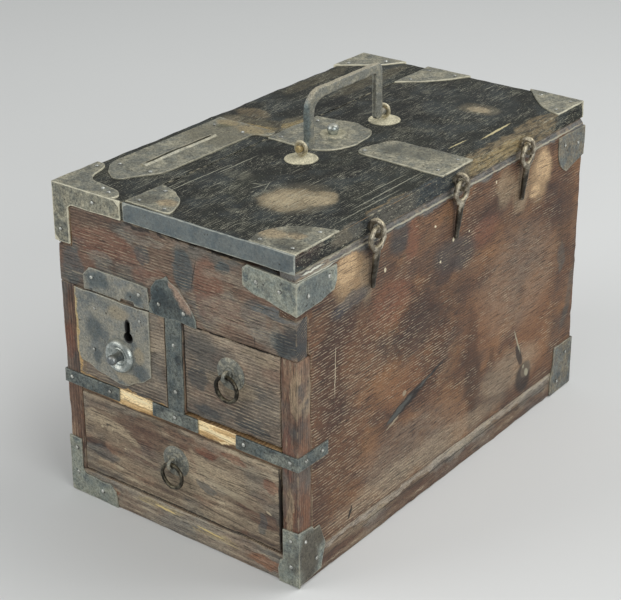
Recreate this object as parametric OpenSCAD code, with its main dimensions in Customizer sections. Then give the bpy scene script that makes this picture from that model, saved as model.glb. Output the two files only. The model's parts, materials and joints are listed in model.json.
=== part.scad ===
// Coin chest: a free-standing wooden box with iron fittings. A hinged lid covers a well. A fixed strip
// beside the lid has a coin slot over a locked drawer, and two more drawers open at the same end.
// Millimetres. X runs across the front, the drawers face -Y, Z is up, and the origin is in the middle
// of the base. Distances "from the front" start at the outer face of the front irons.

/* [Case] */
// Width over the wooden sides
body_w = 248; // [235:1:300]
// Depth over the wooden front and back
body_d = 428; // [400:1:480]
// Height of the case up to the underside of the lid
case_h = 273; // [262:1:300]
// Thickness of the side boards
side_t = 16; // [13:0.5:18]
// Thickness of the board above the drawers
front_t = 14; // [13:0.5:16]
// Thickness of the back board
back_t = 14; // [10:0.5:20]
// Thickness of the bottom board
base_t = 25; // [15:1:30]
// Depth of the two front posts
post_d = 17; // [17:1:24]
// Underside of the middle shelf
shelf_z = 103; // [95:1:112]
// Thickness of the middle shelf
shelf_t = 16; // [12:1:20]
// Underside of the floor of the well
floor_z = 201; // [190:1:210]
// Thickness of the floor of the well
floor_t = 8; // [5:0.5:12]
// Thickness of the upright between the two upper drawers
divider_t = 18; // [12:1:22]
// How far that upright stands to the right of the middle
divider_x = 1; // [-6:1:6]
// Height of the front board's finger, which shows as end grain on the sides
finger_h = 34; // [20:1:45]
// How far the front board's top edge is worn down at its right end
front_wear = 5; // [0:0.5:8]
// Width of the worn bevel along the right side's top edge
ledge_w = 3.5; // [1:0.5:6]
// Height of the worn bevel along the right side's top edge
ledge_h = 4.5; // [1:0.5:6]

/* [Lid and strip] */
// Thickness of the lid and of the fixed strip
top_t = 15; // [12:0.5:20]
// Width of the fixed strip
strip_w = 75; // [68:1:84]
// Gap between the strip and the lid
lid_gap = 1; // [0.5:0.1:2]
// How far the lid's right edge stands in from the side
lid_inset = 2; // [1.5:0.5:6]
// Thickness of the wall between the well and the chute
partition_t = 16; // [12:1:20]

/* [Coin slot] */
// Width of the slot
slot_w = 5; // [4.5:0.1:7]
// Length of the slot
slot_l = 84; // [60:1:110]
// Place of the slot's middle, from the strip's left edge
slot_x = 35; // [28:1:42]
// Near end of the slot, from the front
slot_front = 72; // [60:1:90]
// Height of the lip turned up on each side of the slot
lip_h = 1.5; // [0.5:0.1:3]
// Width of the opening in the well's floor, under the slot
drop_w = 40; // [20:1:42]
// How much longer that opening is than the slot, at each end
drop_margin = 10; // [2:1:16]

/* [Drawers] */
// Thickness of the drawer fronts
drawer_front_t = 16; // [14:1:20]
// Thickness of the drawer sides and backs
drawer_wall_t = 8; // [5:1:10]
// Thickness of the drawer bottoms
drawer_bottom_t = 6; // [3:0.5:9]
// Gap round a drawer front
drawer_gap = 0.5; // [0.3:0.1:1]
// How far the drawer walls stop below the opening's top
drawer_drop = 6; // [2:1:12]
// Room left behind a closed drawer
drawer_room = 5; // [1:1:20]
// How far the lock drawer's front stands proud of the case
lock_front_proud = 1; // [0:0.5:3]
// Gap under the lock drawer's front
lock_front_lift = 0.5; // [0.3:0.1:3]
// Gap under the small drawer's front
small_front_lift = 3; // [0.5:0.5:5]
// Gap under the large drawer's front
large_front_lift = 1.5; // [0.5:0.5:4]
// Gap on the right of the large drawer's front
large_gap_right = 2.5; // [0.3:0.1:4]

/* [Lock] */
// Distance from the upright to the lock plate
lock_plate_inset = 16.5; // [10:0.5:17]
// Distance from the drawer front's left edge to the lock plate
lock_plate_margin = 1; // [0:0.5:4]
// Middle of the keyhole, from the plate's right edge
key_x = 23; // [20:1:30]
// Middle of the keyhole's round part, above the shelf
key_z = 53; // [48:1:56]
// Diameter of the keyhole's round part
key_d = 9; // [6:0.5:11]
// Width of the keyhole's narrow part
key_slit = 4; // [2.5:0.1:5]
// Height of the keyhole's narrow part above its round part's middle
key_h = 13; // [9:1:16]
// Diameter of the domed washer under the lock knob
boss_d = 30; // [20:1:34]
// Height of that washer
boss_h = 4; // [3:0.5:4]
// Middle of the lock knob, from the plate's right edge
knob_x = 33.5; // [30:0.5:42]
// Middle of the lock knob, above the shelf
knob_z = 32.5; // [26:0.5:36]
// Diameter of the lock knob's ball
knob_d = 9; // [7:0.5:9]
// How far the lock knob stands out from its plate
knob_out = 13; // [13:0.5:20]
// Width of the lock case behind the drawer front
lock_case_w = 44; // [36:1:50]
// Height of the lock case
lock_case_h = 48; // [44:1:52]
// Depth of the lock case
lock_case_d = 9; // [8:0.5:10]
// Wall of the lock case
lock_case_wall = 1.5; // [1:0.1:2]
// Width of the bolt
bolt_w = 12; // [8:1:16]
// Thickness of the bolt
bolt_t = 4; // [3:0.1:4.5]
// Length of the bolt
bolt_l = 20; // [12:1:20]
// How far the bolt rises
bolt_throw = 6; // [3:0.5:8]
// Gap round the bolt
bolt_gap = 0.4; // [0.3:0.1:0.8]

/* [Ring pulls] */
// Diameter of the rosettes
rosette_d = 28; // [20:1:32]
// Height of the rosettes
rosette_h = 2.2; // [1.6:0.1:3]
// Radius of the rings, to the middle of the wire
ring_r = 10.5; // [8:0.5:13]
// Wire radius of the rings
ring_wire = 1.7; // [1.2:0.1:2]
// Radius of the rings' eyes, to the middle of the wire
pull_eye_r = 3.8; // [3.8:0.1:4.4]
// Wire radius of the rings' eyes
pull_eye_wire = 1.3; // [1:0.1:1.4]
// How far the eyes' middles stand out from the drawer fronts
pull_out = 6; // [6:0.5:10]
// Gap between a ring and the eye that it hangs in
ring_gap = 0.3; // [0.2:0.1:0.5]
// Middle of the small drawer's rosette, from the drawer's middle
small_pull_z = 11.5; // [0:0.5:16]
// Middle of the large drawer's rosette, from the drawer's middle
large_pull_z = 7; // [0:0.5:12]
// How far the large drawer's rosette stands to the left of the middle
large_pull_x = 2.5; // [-6:0.5:6]

/* [Hinges] */
// How far the hinge line stands out from the side
hinge_out = 6.5; // [6:0.5:14]
// Radius of the lid's eyes, to the middle of the wire
lid_eye_r = 6; // [5:0.5:6.5]
// Radius of the case's eyes, to the middle of the wire
case_eye_r = 8.5; // [8:0.5:11]
// Wire radius of the hinge eyes
eye_wire = 1.8; // [1.2:0.1:2]
// Length of the case eyes' tails
tail_l = 34; // [18:1:40]
// First hinge, from the front
hinge_a = 94; // [70:1:110]
// Middle hinge, from the front
hinge_b = 213; // [190:1:240]
// Last hinge, from the back
hinge_c = 112; // [70:1:120]

/* [Bail handle] */
// Middle of the handle, from the front
handle_y = 221; // [205:1:240]
// Middle of the handle, to the right of the middle
handle_x = 5; // [0:1:12]
// Distance between the handle's eyes
handle_span = 120; // [108:1:130]
// Height of the pivot above the lid's irons
handle_pivot = 8.5; // [8.5:0.5:13]
// Height of the bail above the lid's irons
bail_h = 55; // [48:1:70]
// Height of the bail's grip
bail_grip = 8.5; // [7:0.5:12]
// Width of the bail's legs
bail_leg = 9; // [6:0.5:9]
// Thickness of the bail
bail_t = 5; // [4:0.5:6]
// Radius of the bail's near bend, on the outside
bend_near = 17; // [4:1:20]
// Radius of that bend on the inside
bend_inside = 13; // [2:1:16]
// Radius of the bail's far bend
bend_far = 6; // [3:1:14]
// Gap between a leg of the bail and its eye
bail_gap = 4.9; // [1:0.1:7]
// Radius of the handle's eyes, to the middle of the wire
handle_eye_r = 5.2; // [5:0.1:5.4]
// Wire radius of the handle's eyes
handle_eye_wire = 1.6; // [1.2:0.1:1.7]
// Radius of the bail's pivots
bail_pin_r = 3; // [1.8:0.1:3.2]
// Diameter of the washers under the handle's eyes
washer_d = 29; // [18:1:31]
// Height of the domed washers on the lid
washer_h = 2.5; // [1.5:0.5:2.5]

/* [Lid catch] */
// Middle of the catch, to the left of the handle
catch_x = 12.5; // [12:0.5:18]
// Middle of the catch, behind the handle's middle
catch_y = 1; // [0:1:8]
// Diameter of the catch's washer
catch_washer_d = 25; // [18:1:28]
// Height of the catch's washer
catch_washer_h = 2; // [1.5:0.5:4]
// Diameter of the catch's knob
catch_knob_d = 10; // [9:0.5:16]
// Radius of the catch's shaft
catch_shaft_r = 3; // [2:0.5:4]
// Running gap round the catch's shaft
shaft_fit = 0.05; // [0.02:0.01:0.1]
// Width of the catch's bar
catch_bar_w = 12; // [9:1:16]
// Thickness of the catch's bar
catch_bar_t = 5; // [3:0.5:7]
// How far the bar reaches under the strip when it is turned
catch_reach = 5; // [2:0.5:6]
// Gap round the catch's bar
catch_gap = 0.4; // [0.3:0.1:1]

/* [Irons] */
// Thickness of the sheet irons
iron_t = 1; // [0.6:0.1:1.5]
// Length of the rail straps on the front, from each corner
strap_l = 62; // [50:1:75]
// Length of the rail straps on the sides
strap_side = 38; // [25:1:60]
// Length of the middle strap
strap_mid = 48; // [30:1:54]
// Height of the rail straps
strap_h = 12; // [8:1:12]
// Width of the strap on the upright
divider_strap_w = 16; // [10:1:16]
// Width of the corner irons' legs
corner_leg = 16; // [10:1:16]
// Depth to which the front corner irons run down
corner_drop = 51; // [40:1:60]
// Radius of the nail heads
nail_r = 2; // [1.2:0.1:2.5]
// Height of the nail heads
nail_h = 0.8; // [0.4:0.1:1.5]

/* [Hidden] */
$fn = 48;

oak = "#8a5a3c";
red_wood = "#94553a";
top_wood = "#4a4238";
pale_wood = "#c8b48c";
iron = "#77777a";
dark_iron = "#4c4a4a";

left = -body_w / 2;
right = body_w / 2;
front = -body_d / 2;
back = body_d / 2;
in_l = left + side_t;
in_r = right - side_t;
in_f = front + front_t;
in_b = back - back_t;
out_l = left - iron_t;
out_r = right + iron_t;
out_f = front - iron_t;
out_b = back + iron_t;
top_z = case_h + top_t;
iron_z = top_z + iron_t;
strip_edge = left + strip_w;
lid_l = strip_edge + lid_gap;
lid_r = right - lid_inset;
shelf_top = shelf_z + shelf_t;
finger_z = floor_z + finger_h;
floor_top = floor_z + floor_t;
div_l = divider_x - divider_t / 2;
div_r = divider_x + divider_t / 2;
part_l = strip_edge - partition_t / 2;
part_r = strip_edge + partition_t / 2;
drawer_end = in_b - drawer_room;
slot_mid = left + slot_x;
drop_mid = (in_l + part_l) / 2;
slot_y0 = out_f + slot_front;
slot_y1 = slot_y0 + slot_l;
plate_r = div_l - lock_plate_inset;
plate_l = in_l + drawer_gap + lock_plate_margin;
lock_face = front - lock_front_proud;
lock_back = front + drawer_front_t;
key_at = [plate_r - key_x, shelf_top + key_z];
knob_at = [plate_r - knob_x, shelf_top + knob_z];
lock_top = floor_z - drawer_gap;
bolt_y = lock_back - lock_case_d / 2;
hinge_x = right + hinge_out;
hinge_z = case_h + top_t / 2;
hinge_ys = [out_f + hinge_a, out_f + hinge_b, out_b - hinge_c];
bail_y = out_f + handle_y;
pivot_z = iron_z + handle_pivot;
eye_ys = [bail_y - handle_span / 2, bail_y + handle_span / 2];
leg_off = handle_span / 2 - handle_eye_wire - bail_gap - bail_leg / 2;
catch_at = [handle_x - catch_x, bail_y + catch_y];
bar_top = case_h - catch_gap;
bar_reach = catch_at[0] - strip_edge + catch_reach;
small_pull = [(div_r + in_r) / 2, (shelf_top + floor_z) / 2 + small_pull_z];
large_pull = [(in_l + in_r) / 2 - large_pull_x, (base_t + shelf_z) / 2 + large_pull_z];
ring_seat = pull_eye_r - pull_eye_wire - ring_wire - ring_gap;

// Points along an arc, in degrees
function arc(c, r, a0, a1, n) =
    [for (i = [0:n]) c + r * [cos(a0 + (a1 - a0) * i / n), sin(a0 + (a1 - a0) * i / n)]];
// Points moved by an offset, and points mirrored left to right
function moved(points, by) = [for (p = points) p + by];
function flipped(points) = [for (p = points) [-p[0], p[1]]];
// Height of the front board's worn top edge at a place across the front
function front_top(x) = case_h - front_wear * max(0, x - strip_edge) / (in_r - strip_edge);

// A box from its lowest to its highest corner
module box(a, b) {
    translate(a) cube(b - a);
}

// A sheet on the front: an outline in X and Z, standing out from the plane at y
module on_front(points, y, t = iron_t) {
    translate([0, y, 0]) rotate([90, 0, 0]) linear_extrude(t) polygon(points);
}

// A sheet on a side: an outline in Y and Z, from x towards +X
module on_side(points, x, t = iron_t) {
    translate([x, 0, 0]) rotate([90, 0, 90]) linear_extrude(t) polygon(points);
}

// A sheet on the top: an outline in X and Y, from z upwards
module on_top(points, z = top_z, t = iron_t) {
    translate([0, 0, z]) linear_extrude(t) polygon(points);
}

// A ring of round wire about the Z axis
module wire_ring(r, wire) {
    rotate_extrude() translate([r, 0]) circle(r = wire, $fn = 24);
}

// A domed washer, standing on z = 0: a thin rim and an arc up to its crown
module dome(d, h) {
    rim = 0.6;
    cap = h - rim;
    ball = (d * d / 4 + cap * cap) / (2 * cap);
    edge = acos(d / 2 / ball);
    crown = arc([0, h - ball], ball, edge, 90, 5);
    rotate_extrude() polygon(concat([[0, 0], [d / 2, 0]], crown));
}

// A knob along +Z: a neck and a ball that ends at height h
module ball_knob(d, h, neck) {
    cylinder(r = neck, h = h - d / 2);
    translate([0, 0, h - d / 2]) sphere(d = d);
}

// Nail heads: on the front or the back, on a side and on top. The way is -1 or 1, along the axis
module front_nails(places, y, way = -1) {
    for (p = places) translate([p[0], y, p[1]]) rotate([-90 * way, 0, 0])
        cylinder(r = nail_r, h = nail_h);
}
module side_nails(places, x, way = 1) {
    for (p = places) translate([x, p[0], p[1]]) rotate([0, 90 * way, 0])
        cylinder(r = nail_r, h = nail_h);
}
module top_nails(places) {
    for (p = places) translate([p[0], p[1], iron_z]) cylinder(r = nail_r, h = nail_h);
}

// Case boards

side_outline = [[front + post_d, base_t], [back, base_t], [back, case_h], [front, case_h],
    [front, finger_z], [in_f, finger_z], [in_f, floor_z], [front + post_d, floor_z]];

module bottom_board() {
    color(oak) box([left, front, 0], [right, back, base_t]);
}

module left_side_board() {
    color(oak) on_side(side_outline, left, side_t);
}

// The right side's top edge is bevelled by wear, outside the lid
module right_side_board() {
    bevel = [[right - ledge_w, case_h], [right, case_h - ledge_h], [right + 1, case_h - ledge_h],
        [right + 1, case_h + 1], [right - ledge_w, case_h + 1]];
    color(oak) difference() {
        on_side(side_outline, in_r, side_t);
        on_front(bevel, back + 1, body_d + 2);
    }
}

module back_board() {
    color(oak) box([in_l, in_b, base_t], [in_r, back, case_h]);
}

// The front board has a finger at each end and a mortise for the bolt, which the well's floor closes
module front_top_board() {
    outline = [[left, floor_z], [right, floor_z], [right, finger_z], [in_r, finger_z],
        [in_r, front_top(in_r)], [strip_edge, case_h], [in_l, case_h], [in_l, finger_z],
        [left, finger_z]];
    half_w = bolt_w / 2 + bolt_gap;
    half_t = bolt_t / 2 + bolt_gap;
    color(red_wood) difference() {
        on_front(outline, in_f, front_t);
        box([key_at[0] - half_w, bolt_y - half_t, floor_z - 1],
            [key_at[0] + half_w, in_f + 1, floor_z + bolt_throw + 1]);
    }
}

module front_posts() {
    color(red_wood) {
        box([left, front, base_t], [in_l, front + post_d, floor_z]);
        box([in_r, front, base_t], [right, front + post_d, floor_z]);
    }
}

module middle_shelf() {
    color(pale_wood) box([in_l, front, shelf_z], [in_r, in_b, shelf_top]);
}

module drawer_divider() {
    color(oak) box([div_l, front, shelf_top], [div_r, in_b, floor_z]);
}

// The floor of the well runs on under the chute, where coins drop through an opening
module well_floor() {
    color(oak) difference() {
        box([in_l, in_f, floor_z], [in_r, in_b, floor_top]);
        box([drop_mid - drop_w / 2, slot_y0 - drop_margin, floor_z - 1],
            [drop_mid + drop_w / 2, slot_y1 + drop_margin, floor_top + 1]);
    }
}

// The wall between the chute and the well is notched for the catch's bar
module chute_partition() {
    color(oak) difference() {
        box([part_l, in_f, floor_top], [part_r, in_b, case_h]);
        box([part_l - 1, catch_at[1] - catch_bar_w / 2 - 1, bar_top - catch_bar_t - 1],
            [part_r + 1, catch_at[1] + bar_reach, case_h + 1]);
    }
}

module fixed_top_strip() {
    color(top_wood) difference() {
        box([left, front, case_h], [strip_edge, back, top_z]);
        box([slot_mid - slot_w / 2, slot_y0, case_h - 1], [slot_mid + slot_w / 2, slot_y1, top_z + 1]);
    }
}

// Irons of the case

// The slot plate has a pointed near end, a rounded right shoulder, a tab and two lips
module coin_slot_plate() {
    near = slot_y0 - 40;
    far = slot_y1 + 42;
    tab = far - 14;
    outline = concat([[left + 9, far], [left + 9, near + 26], [left + 22, near + 10], [left + 38, near]],
        arc([left + 30, near + 44], 30, -48, 0, 6),
        [[left + 60, tab], [strip_edge - 1, tab + 1], [strip_edge - 1, far]]);
    lip = slot_w / 2 + iron_t;
    color(iron) difference() {
        union() {
            on_top(outline);
            box([slot_mid - lip, slot_y0 - 3, top_z], [slot_mid + lip, slot_y1 + 3, iron_z + lip_h]);
        }
        box([slot_mid - slot_w / 2, slot_y0, top_z - 1],
            [slot_mid + slot_w / 2, slot_y1, iron_z + lip_h + 1]);
    }
}

// Front corner iron of the strip: a leg and an arm on the front, two arms on top, a leaf on the left
module strip_front_iron() {
    foot = iron_z - corner_drop;
    face = [[out_l, foot], [out_l + corner_leg, foot], [out_l + corner_leg, case_h - 3],
        [out_l + corner_leg + 4, case_h], [strip_edge - 2, case_h], [strip_edge - 2, iron_z],
        [out_l, iron_z]];
    arms = [[out_l, out_f], [strip_edge - 11, out_f], [strip_edge - 9, out_f + 8],
        [strip_edge - 17, out_f + 16], [out_l + 41, out_f + 18], [out_l + 25, out_f + 21],
        [out_l + 18, out_f + 28], [out_l + 14, out_f + 45], [out_l + 9, out_f + 53],
        [out_l, out_f + 53]];
    leaf = [[out_f, foot], [out_f + 34, foot + 6], [out_f + 49, foot + 30], [out_f + 49, iron_z],
        [out_f, iron_z]];
    color(iron) {
        on_front(face, front);
        on_top(arms);
        on_side(leaf, out_l);
    }
}

// Back corner iron of the strip: a cut corner on top, a leaf on the left and one on the back
module strip_back_iron() {
    cut = [[out_l, out_b - 49], [out_l + 38, out_b - 20], [out_l + 51, out_b], [out_l, out_b]];
    leaf = [[out_b - 49, case_h - 10], [out_b - 30, case_h - 32], [out_b, case_h - 35], [out_b, iron_z],
        [out_b - 49, iron_z]];
    color(iron) {
        on_top(cut);
        on_side(leaf, out_l);
        on_front([[out_l, case_h - 35], [out_l + 34, case_h - 30], [out_l + 51, case_h - 8],
            [out_l + 51, iron_z], [out_l, iron_z]], out_b);
    }
}

// Iron on the right front corner of the case, under the lid
module case_iron_front() {
    tip = out_r - 51;
    face = [[tip, front_top(tip) - 3], [tip + 4, front_top(tip)], [in_r, front_top(in_r)],
        [out_r, case_h - 7], [out_r, case_h - 33], [tip + 10, case_h - 25], [tip, case_h - 20]];
    leaf = [[out_f, case_h - 33], [out_f + 30, case_h - 31], [out_f + 46, case_h - 27],
        [out_f + 49, case_h - 20], [out_f + 49, case_h - 8], [out_f, case_h - 7]];
    color(iron) {
        on_front(face, front);
        on_side(leaf, right);
    }
}

// Iron on the right back corner of the case, with rounded lower outlines
module case_iron_back() {
    leaf = concat([[out_b, case_h - 7], [out_b - 46, case_h - 7]],
        arc([out_b - 23, case_h - 20], 23, 180, 250, 6), [[out_b, case_h - 34]]);
    face = concat([[out_r, case_h - 7], [out_r - 46, case_h - 7]],
        arc([out_r - 23, case_h - 20], 23, 180, 250, 6), [[out_r, case_h - 34]]);
    color(iron) {
        on_side(leaf, right);
        on_front(face, out_b);
    }
}

// Base irons at the front: tall legs and low feet, which stay off the drawer, and leaves on the sides
module base_irons_front() {
    leg = corner_leg - 3;
    top = base_t - 4.5;
    left_face = concat([[0, 0.5], [53, 0.5], [51, top - 6], [45, top - 1], [leg + 6, top]],
        arc([leg + 6, top + 6], 6, 270, 180, 4), [[leg, 54], [0, 54]]);
    right_face = [[0, 0.5], [20, 0.5], [21, top - 9], [19, top], [corner_leg, top + 2],
        [corner_leg, 50], [0, 50]];
    leaf = [[0, 3], [28, 5], [34, 27], [27, 46], [20, 46], [17, 49.5], [0, 50.5]];
    color(iron) {
        on_front(moved(left_face, [out_l, 0]), front);
        on_side(moved(leaf, [out_f, 0]), out_l);
        on_front(moved(flipped(right_face), [out_r, 0]), front);
        on_side(moved(leaf, [out_f, 0]), right);
    }
}

// Base irons at the back: a leaf on each side, and a foot round each corner of the back
module base_irons_back() {
    leaf = [[0, 0.5], [-38, 0.5], [-38, 18], [-34, 34], [-33, 50], [0, 50]];
    color(iron) {
        for (x = [out_l, right]) on_side(moved(leaf, [out_b, 0]), x);
        on_front(moved(flipped(leaf), [out_l, 0]), out_b);
        on_front(moved(leaf, [out_r, 0]), out_b);
    }
}

// Straps on the shelf's front edge: one round each corner and one in the middle
module rail_straps() {
    z1 = shelf_top;
    z0 = z1 - strap_h;
    mid = divider_x - 2;
    color(iron) {
        box([out_l, out_f, z0], [out_l + strap_l, front, z1]);
        box([out_l, out_f, z0], [left, out_f + strap_side, z1]);
        box([mid - strap_mid / 2, out_f, z0], [mid + strap_mid / 2, front, z1]);
        box([out_r - strap_l, out_f, z0], [out_r, front, z1]);
        box([right, out_f, z0], [out_r, out_f + strap_side, z1]);
    }
}

module divider_strap() {
    color(iron) box([divider_x - divider_strap_w / 2, out_f, shelf_top],
        [divider_x + divider_strap_w / 2, front, floor_z]);
}

// Peaked plate over the upright's strap
module divider_cap_plate() {
    outline = [[-25, 0], [24, 0], [24, 6], [17, 17], [7, 28], [-2, 33], [-5.5, 36], [-9, 33], [-16, 30],
        [-21, 23], [-22, 12], [-25, 6]];
    color(iron) on_front(moved(outline, [divider_x, floor_z]), front);
}

// Striking plate over the lock, with a notch in its lower edge
module strike_plate() {
    r = plate_r;
    l = plate_r - 71;
    z = floor_z;
    notch = key_at[0] - 8;
    outline = [[l, z + 1], [notch, z + 1], [notch + 1, z + 4], [notch + 15, z + 4], [notch + 16, z + 1],
        [r, z + 1], [r, z + 21], [l + 7, z + 21], [l, z + 14]];
    color(iron) on_front(outline, front);
}

low_nails = [[out_f + 8, 40], [out_f + 22, 18], [out_f + 10, shelf_top - 6],
    [out_f + 30, shelf_top - 6], [out_b - 26, 12], [out_b - 12, 38]];

module case_nails() {
    color(dark_iron) {
        front_nails([[out_l + 7, iron_z - 40], [out_l + 45, iron_z - 8], [out_l + 8, 44],
            [out_l + 8, 20], [out_l + 36, 10], [out_r - 8, 42], [out_r - 8, 18],
            [out_r - 38, case_h - 15], [out_r - 16, case_h - 17], [out_l + 8, shelf_top - 6],
            [out_l + 52, shelf_top - 6], [divider_x - 2, shelf_top - 6],
            [out_r - 54, shelf_top - 6], [out_r - 8, shelf_top - 6],
            [divider_x, shelf_top + 18], [divider_x, floor_z - 22],
            [divider_x - 14, floor_z + 10], [divider_x + 12, floor_z + 9],
            [plate_r - 62, floor_z + 13], [plate_r - 10, floor_z + 12]], out_f);
        side_nails(concat(low_nails, [[out_f + 14, case_h - 21], [out_f + 40, case_h - 14],
            [out_b - 36, case_h - 16], [out_b - 12, case_h - 20]]), out_r);
        side_nails(concat(low_nails, [[out_f + 14, case_h - 20], [out_f + 38, case_h + 2],
            [out_b - 36, case_h - 2], [out_b - 12, case_h - 20]]), out_l, -1);
        front_nails([[out_l + 12, 38], [out_l + 26, 12], [out_r - 12, 38], [out_r - 26, 12],
            [out_l + 14, case_h - 18], [out_l + 36, case_h + 2], [out_r - 12, case_h - 20],
            [out_r - 34, case_h - 16]], out_b, 1);
        top_nails([[out_l + 45, out_f + 13], [out_l + 55, out_f + 9], [out_l + 6, out_f + 46],
            [out_l + 8, out_b - 36], [out_l + 34, out_b - 10], [left + 18, slot_y0 - 12],
            [left + 50, slot_y0 - 10], [left + 18, slot_y1 + 24], [left + 50, slot_y1 + 24]]);
    }
}

// Eyes of the case: a ring in a plane along the side, a shank that meets the side and a tail
module hinge_case_eyes() {
    foot_z = hinge_z - 2 * case_eye_r;
    lean = atan2(hinge_out - 2.5, tail_l);
    color(dark_iron) for (y = hinge_ys) {
        translate([hinge_x, y, hinge_z - case_eye_r]) rotate([0, 90, 0]) wire_ring(case_eye_r, eye_wire);
        translate([right, y, foot_z]) rotate([0, 90, 0]) cylinder(r = eye_wire, h = hinge_out);
        translate([hinge_x, y, foot_z]) rotate([0, 180 + lean, 0])
            cylinder(r1 = 2.6, r2 = 1.4, h = tail_l, $fn = 24);
    }
}

// Lid

module lid_board() {
    color(top_wood) difference() {
        box([lid_l, front, case_h], [lid_r, back, top_z]);
        translate([catch_at[0], catch_at[1], case_h - 1])
            cylinder(r = catch_shaft_r + shaft_fit, h = top_t + 2);
    }
}

module lid_front_band() {
    color(iron) box([lid_l + 1, out_f, case_h + 0.5], [lid_r + 1, front, iron_z]);
}

// Corner irons on top of the lid
module lid_irons_front() {
    near_left = [[0, 5], [45, 4], [44, 12], [36, 29], [18, 43], [0, 47]];
    near_right = [[0, 2], [-43, 1], [-46, 14], [-45, 28], [-36, 41], [-24, 49], [0, 57]];
    color(iron) {
        on_top(moved(near_left, [lid_l, out_f]));
        on_top(moved(near_right, [lid_r, out_f]));
    }
}

module lid_irons_back() {
    far_left = [[0, -57], [25, -36], [38, -20], [48, 0], [0, 0]];
    far_right = [[0, -46], [-12, -42], [-24, -34], [-38, -20], [-55, 0], [0, 0]];
    color(iron) {
        on_top(moved(far_left, [lid_l, out_b]));
        on_top(moved(far_right, [lid_r, out_b]));
        box([lid_l, back, case_h + 0.5], [lid_l + 48, out_b, iron_z]);
        box([lid_r - 55, back, case_h + 0.5], [lid_r, out_b, iron_z]);
    }
}

// Plate under the catch, from the lid's free edge to the handle
module lid_centre_plate() {
    outline = [[lid_l, bail_y - 38], [handle_x - 2, bail_y - 39], [handle_x + 11, bail_y - 29],
        [handle_x + 18, bail_y - 9], [handle_x + 16, bail_y + 14], [handle_x + 10, bail_y + 29],
        [handle_x - 12, bail_y + 37], [lid_l, bail_y + 31]];
    color(iron) difference() {
        on_top(outline);
        translate([catch_at[0], catch_at[1], top_z - 1]) cylinder(r = catch_shaft_r + shaft_fit, h = 3);
    }
}

module lid_side_strap() {
    outline = [[lid_r, bail_y - 25], [handle_x + 29, bail_y - 22], [handle_x + 27, bail_y - 9],
        [handle_x + 37, bail_y + 21], [lid_r, bail_y + 22]];
    color(iron) on_top(outline);
}

// Eyes of the lid: a ring across the hinge line and a shank that meets the lid's edge
module hinge_lid_eyes() {
    color(dark_iron) for (y = hinge_ys) {
        translate([hinge_x, y, hinge_z]) rotate([90, 0, 0]) wire_ring(lid_eye_r, eye_wire);
        translate([lid_r, y, hinge_z]) rotate([0, 90, 0])
            cylinder(r = eye_wire, h = hinge_x - lid_r - lid_eye_r);
    }
}

// Domed washers under the handle's eyes, seated on the lid
module handle_washers() {
    color(iron) for (y = eye_ys) translate([handle_x, y, top_z]) difference() {
        dome(washer_d, washer_h);
        translate([0, 0, -1]) cylinder(r = handle_eye_wire, h = washer_h + 2);
    }
}

// Eyes of the handle: a ring across the pivot line on a shank through the washer
module handle_eyes() {
    color(dark_iron) for (y = eye_ys) {
        translate([handle_x, y, pivot_z]) rotate([90, 0, 0]) wire_ring(handle_eye_r, handle_eye_wire);
        translate([handle_x, y, top_z])
            cylinder(r = handle_eye_wire, h = pivot_z - handle_eye_r - top_z);
    }
}

module catch_washer() {
    color(iron) translate([catch_at[0], catch_at[1], iron_z]) difference() {
        dome(catch_washer_d, catch_washer_h);
        translate([0, 0, -1]) cylinder(r = catch_shaft_r + shaft_fit, h = catch_washer_h + 2);
    }
}

module lid_nails() {
    color(dark_iron) top_nails([[lid_l + 8, out_f + 12], [lid_l + 36, out_f + 10],
        [lid_l + 12, out_f + 38], [lid_r - 8, out_f + 10], [lid_r - 38, out_f + 9],
        [lid_r - 10, out_f + 46], [lid_r - 8, out_b - 10], [lid_r - 40, out_b - 8],
        [lid_r - 8, out_b - 36], [lid_l + 8, out_b - 10], [lid_l + 8, out_b - 42],
        [lid_l + 36, out_b - 8], [lid_l + 8, bail_y - 30], [lid_l + 8, bail_y + 22],
        [handle_x + 32, bail_y - 14], [lid_r - 10, bail_y - 16], [lid_r - 10, bail_y + 14]]);
}

// Bail: a flat bar with two legs and a bent grip, and a pivot that stands out from each leg
module bail_handle() {
    half = leg_off + bail_leg / 2;
    grip_z = iron_z + bail_h;
    outer = concat([[-half, pivot_z]], arc([bend_near - half, grip_z - bend_near], bend_near, 180, 90, 8),
        arc([half - bend_far, grip_z - bend_far], bend_far, 90, 0, 6), [[half, pivot_z]]);
    under = grip_z - bail_grip;
    inner = concat([[half - bail_leg, pivot_z], [half - bail_leg, under]],
        arc([bail_leg - half + bend_inside, under - bend_inside], bend_inside, 90, 180, 6),
        [[bail_leg - half, pivot_z]]);
    pin_l = handle_span / 2 + handle_eye_wire + 3 - half;
    color(dark_iron) {
        translate([0, bail_y, 0]) on_side(concat(outer, inner), handle_x - bail_t / 2, bail_t);
        for (s = [-1, 1]) translate([handle_x, bail_y + s * leg_off, pivot_z]) {
            rotate([0, 90, 0]) cylinder(d = bail_leg, h = bail_t, center = true);
            translate([0, s * bail_leg / 2, 0]) rotate([-90 * s, 0, 0])
                translate([0, 0, -1]) cylinder(r = bail_pin_r, h = pin_l + 1);
        }
    }
}

// Catch: a knob above the lid on a shaft, and a bar under the lid that turns under the strip
module catch_knob() {
    color(dark_iron) translate([catch_at[0], catch_at[1], 0]) {
        translate([0, 0, bar_top])
            cylinder(r = catch_shaft_r, h = iron_z + catch_washer_h + catch_gap + 1 - bar_top);
        translate([0, 0, iron_z + catch_washer_h + catch_gap]) {
            cylinder(r = catch_shaft_r + 1.5, h = 3);
            translate([0, 0, catch_knob_d / 2]) sphere(d = catch_knob_d);
        }
    }
}

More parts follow.
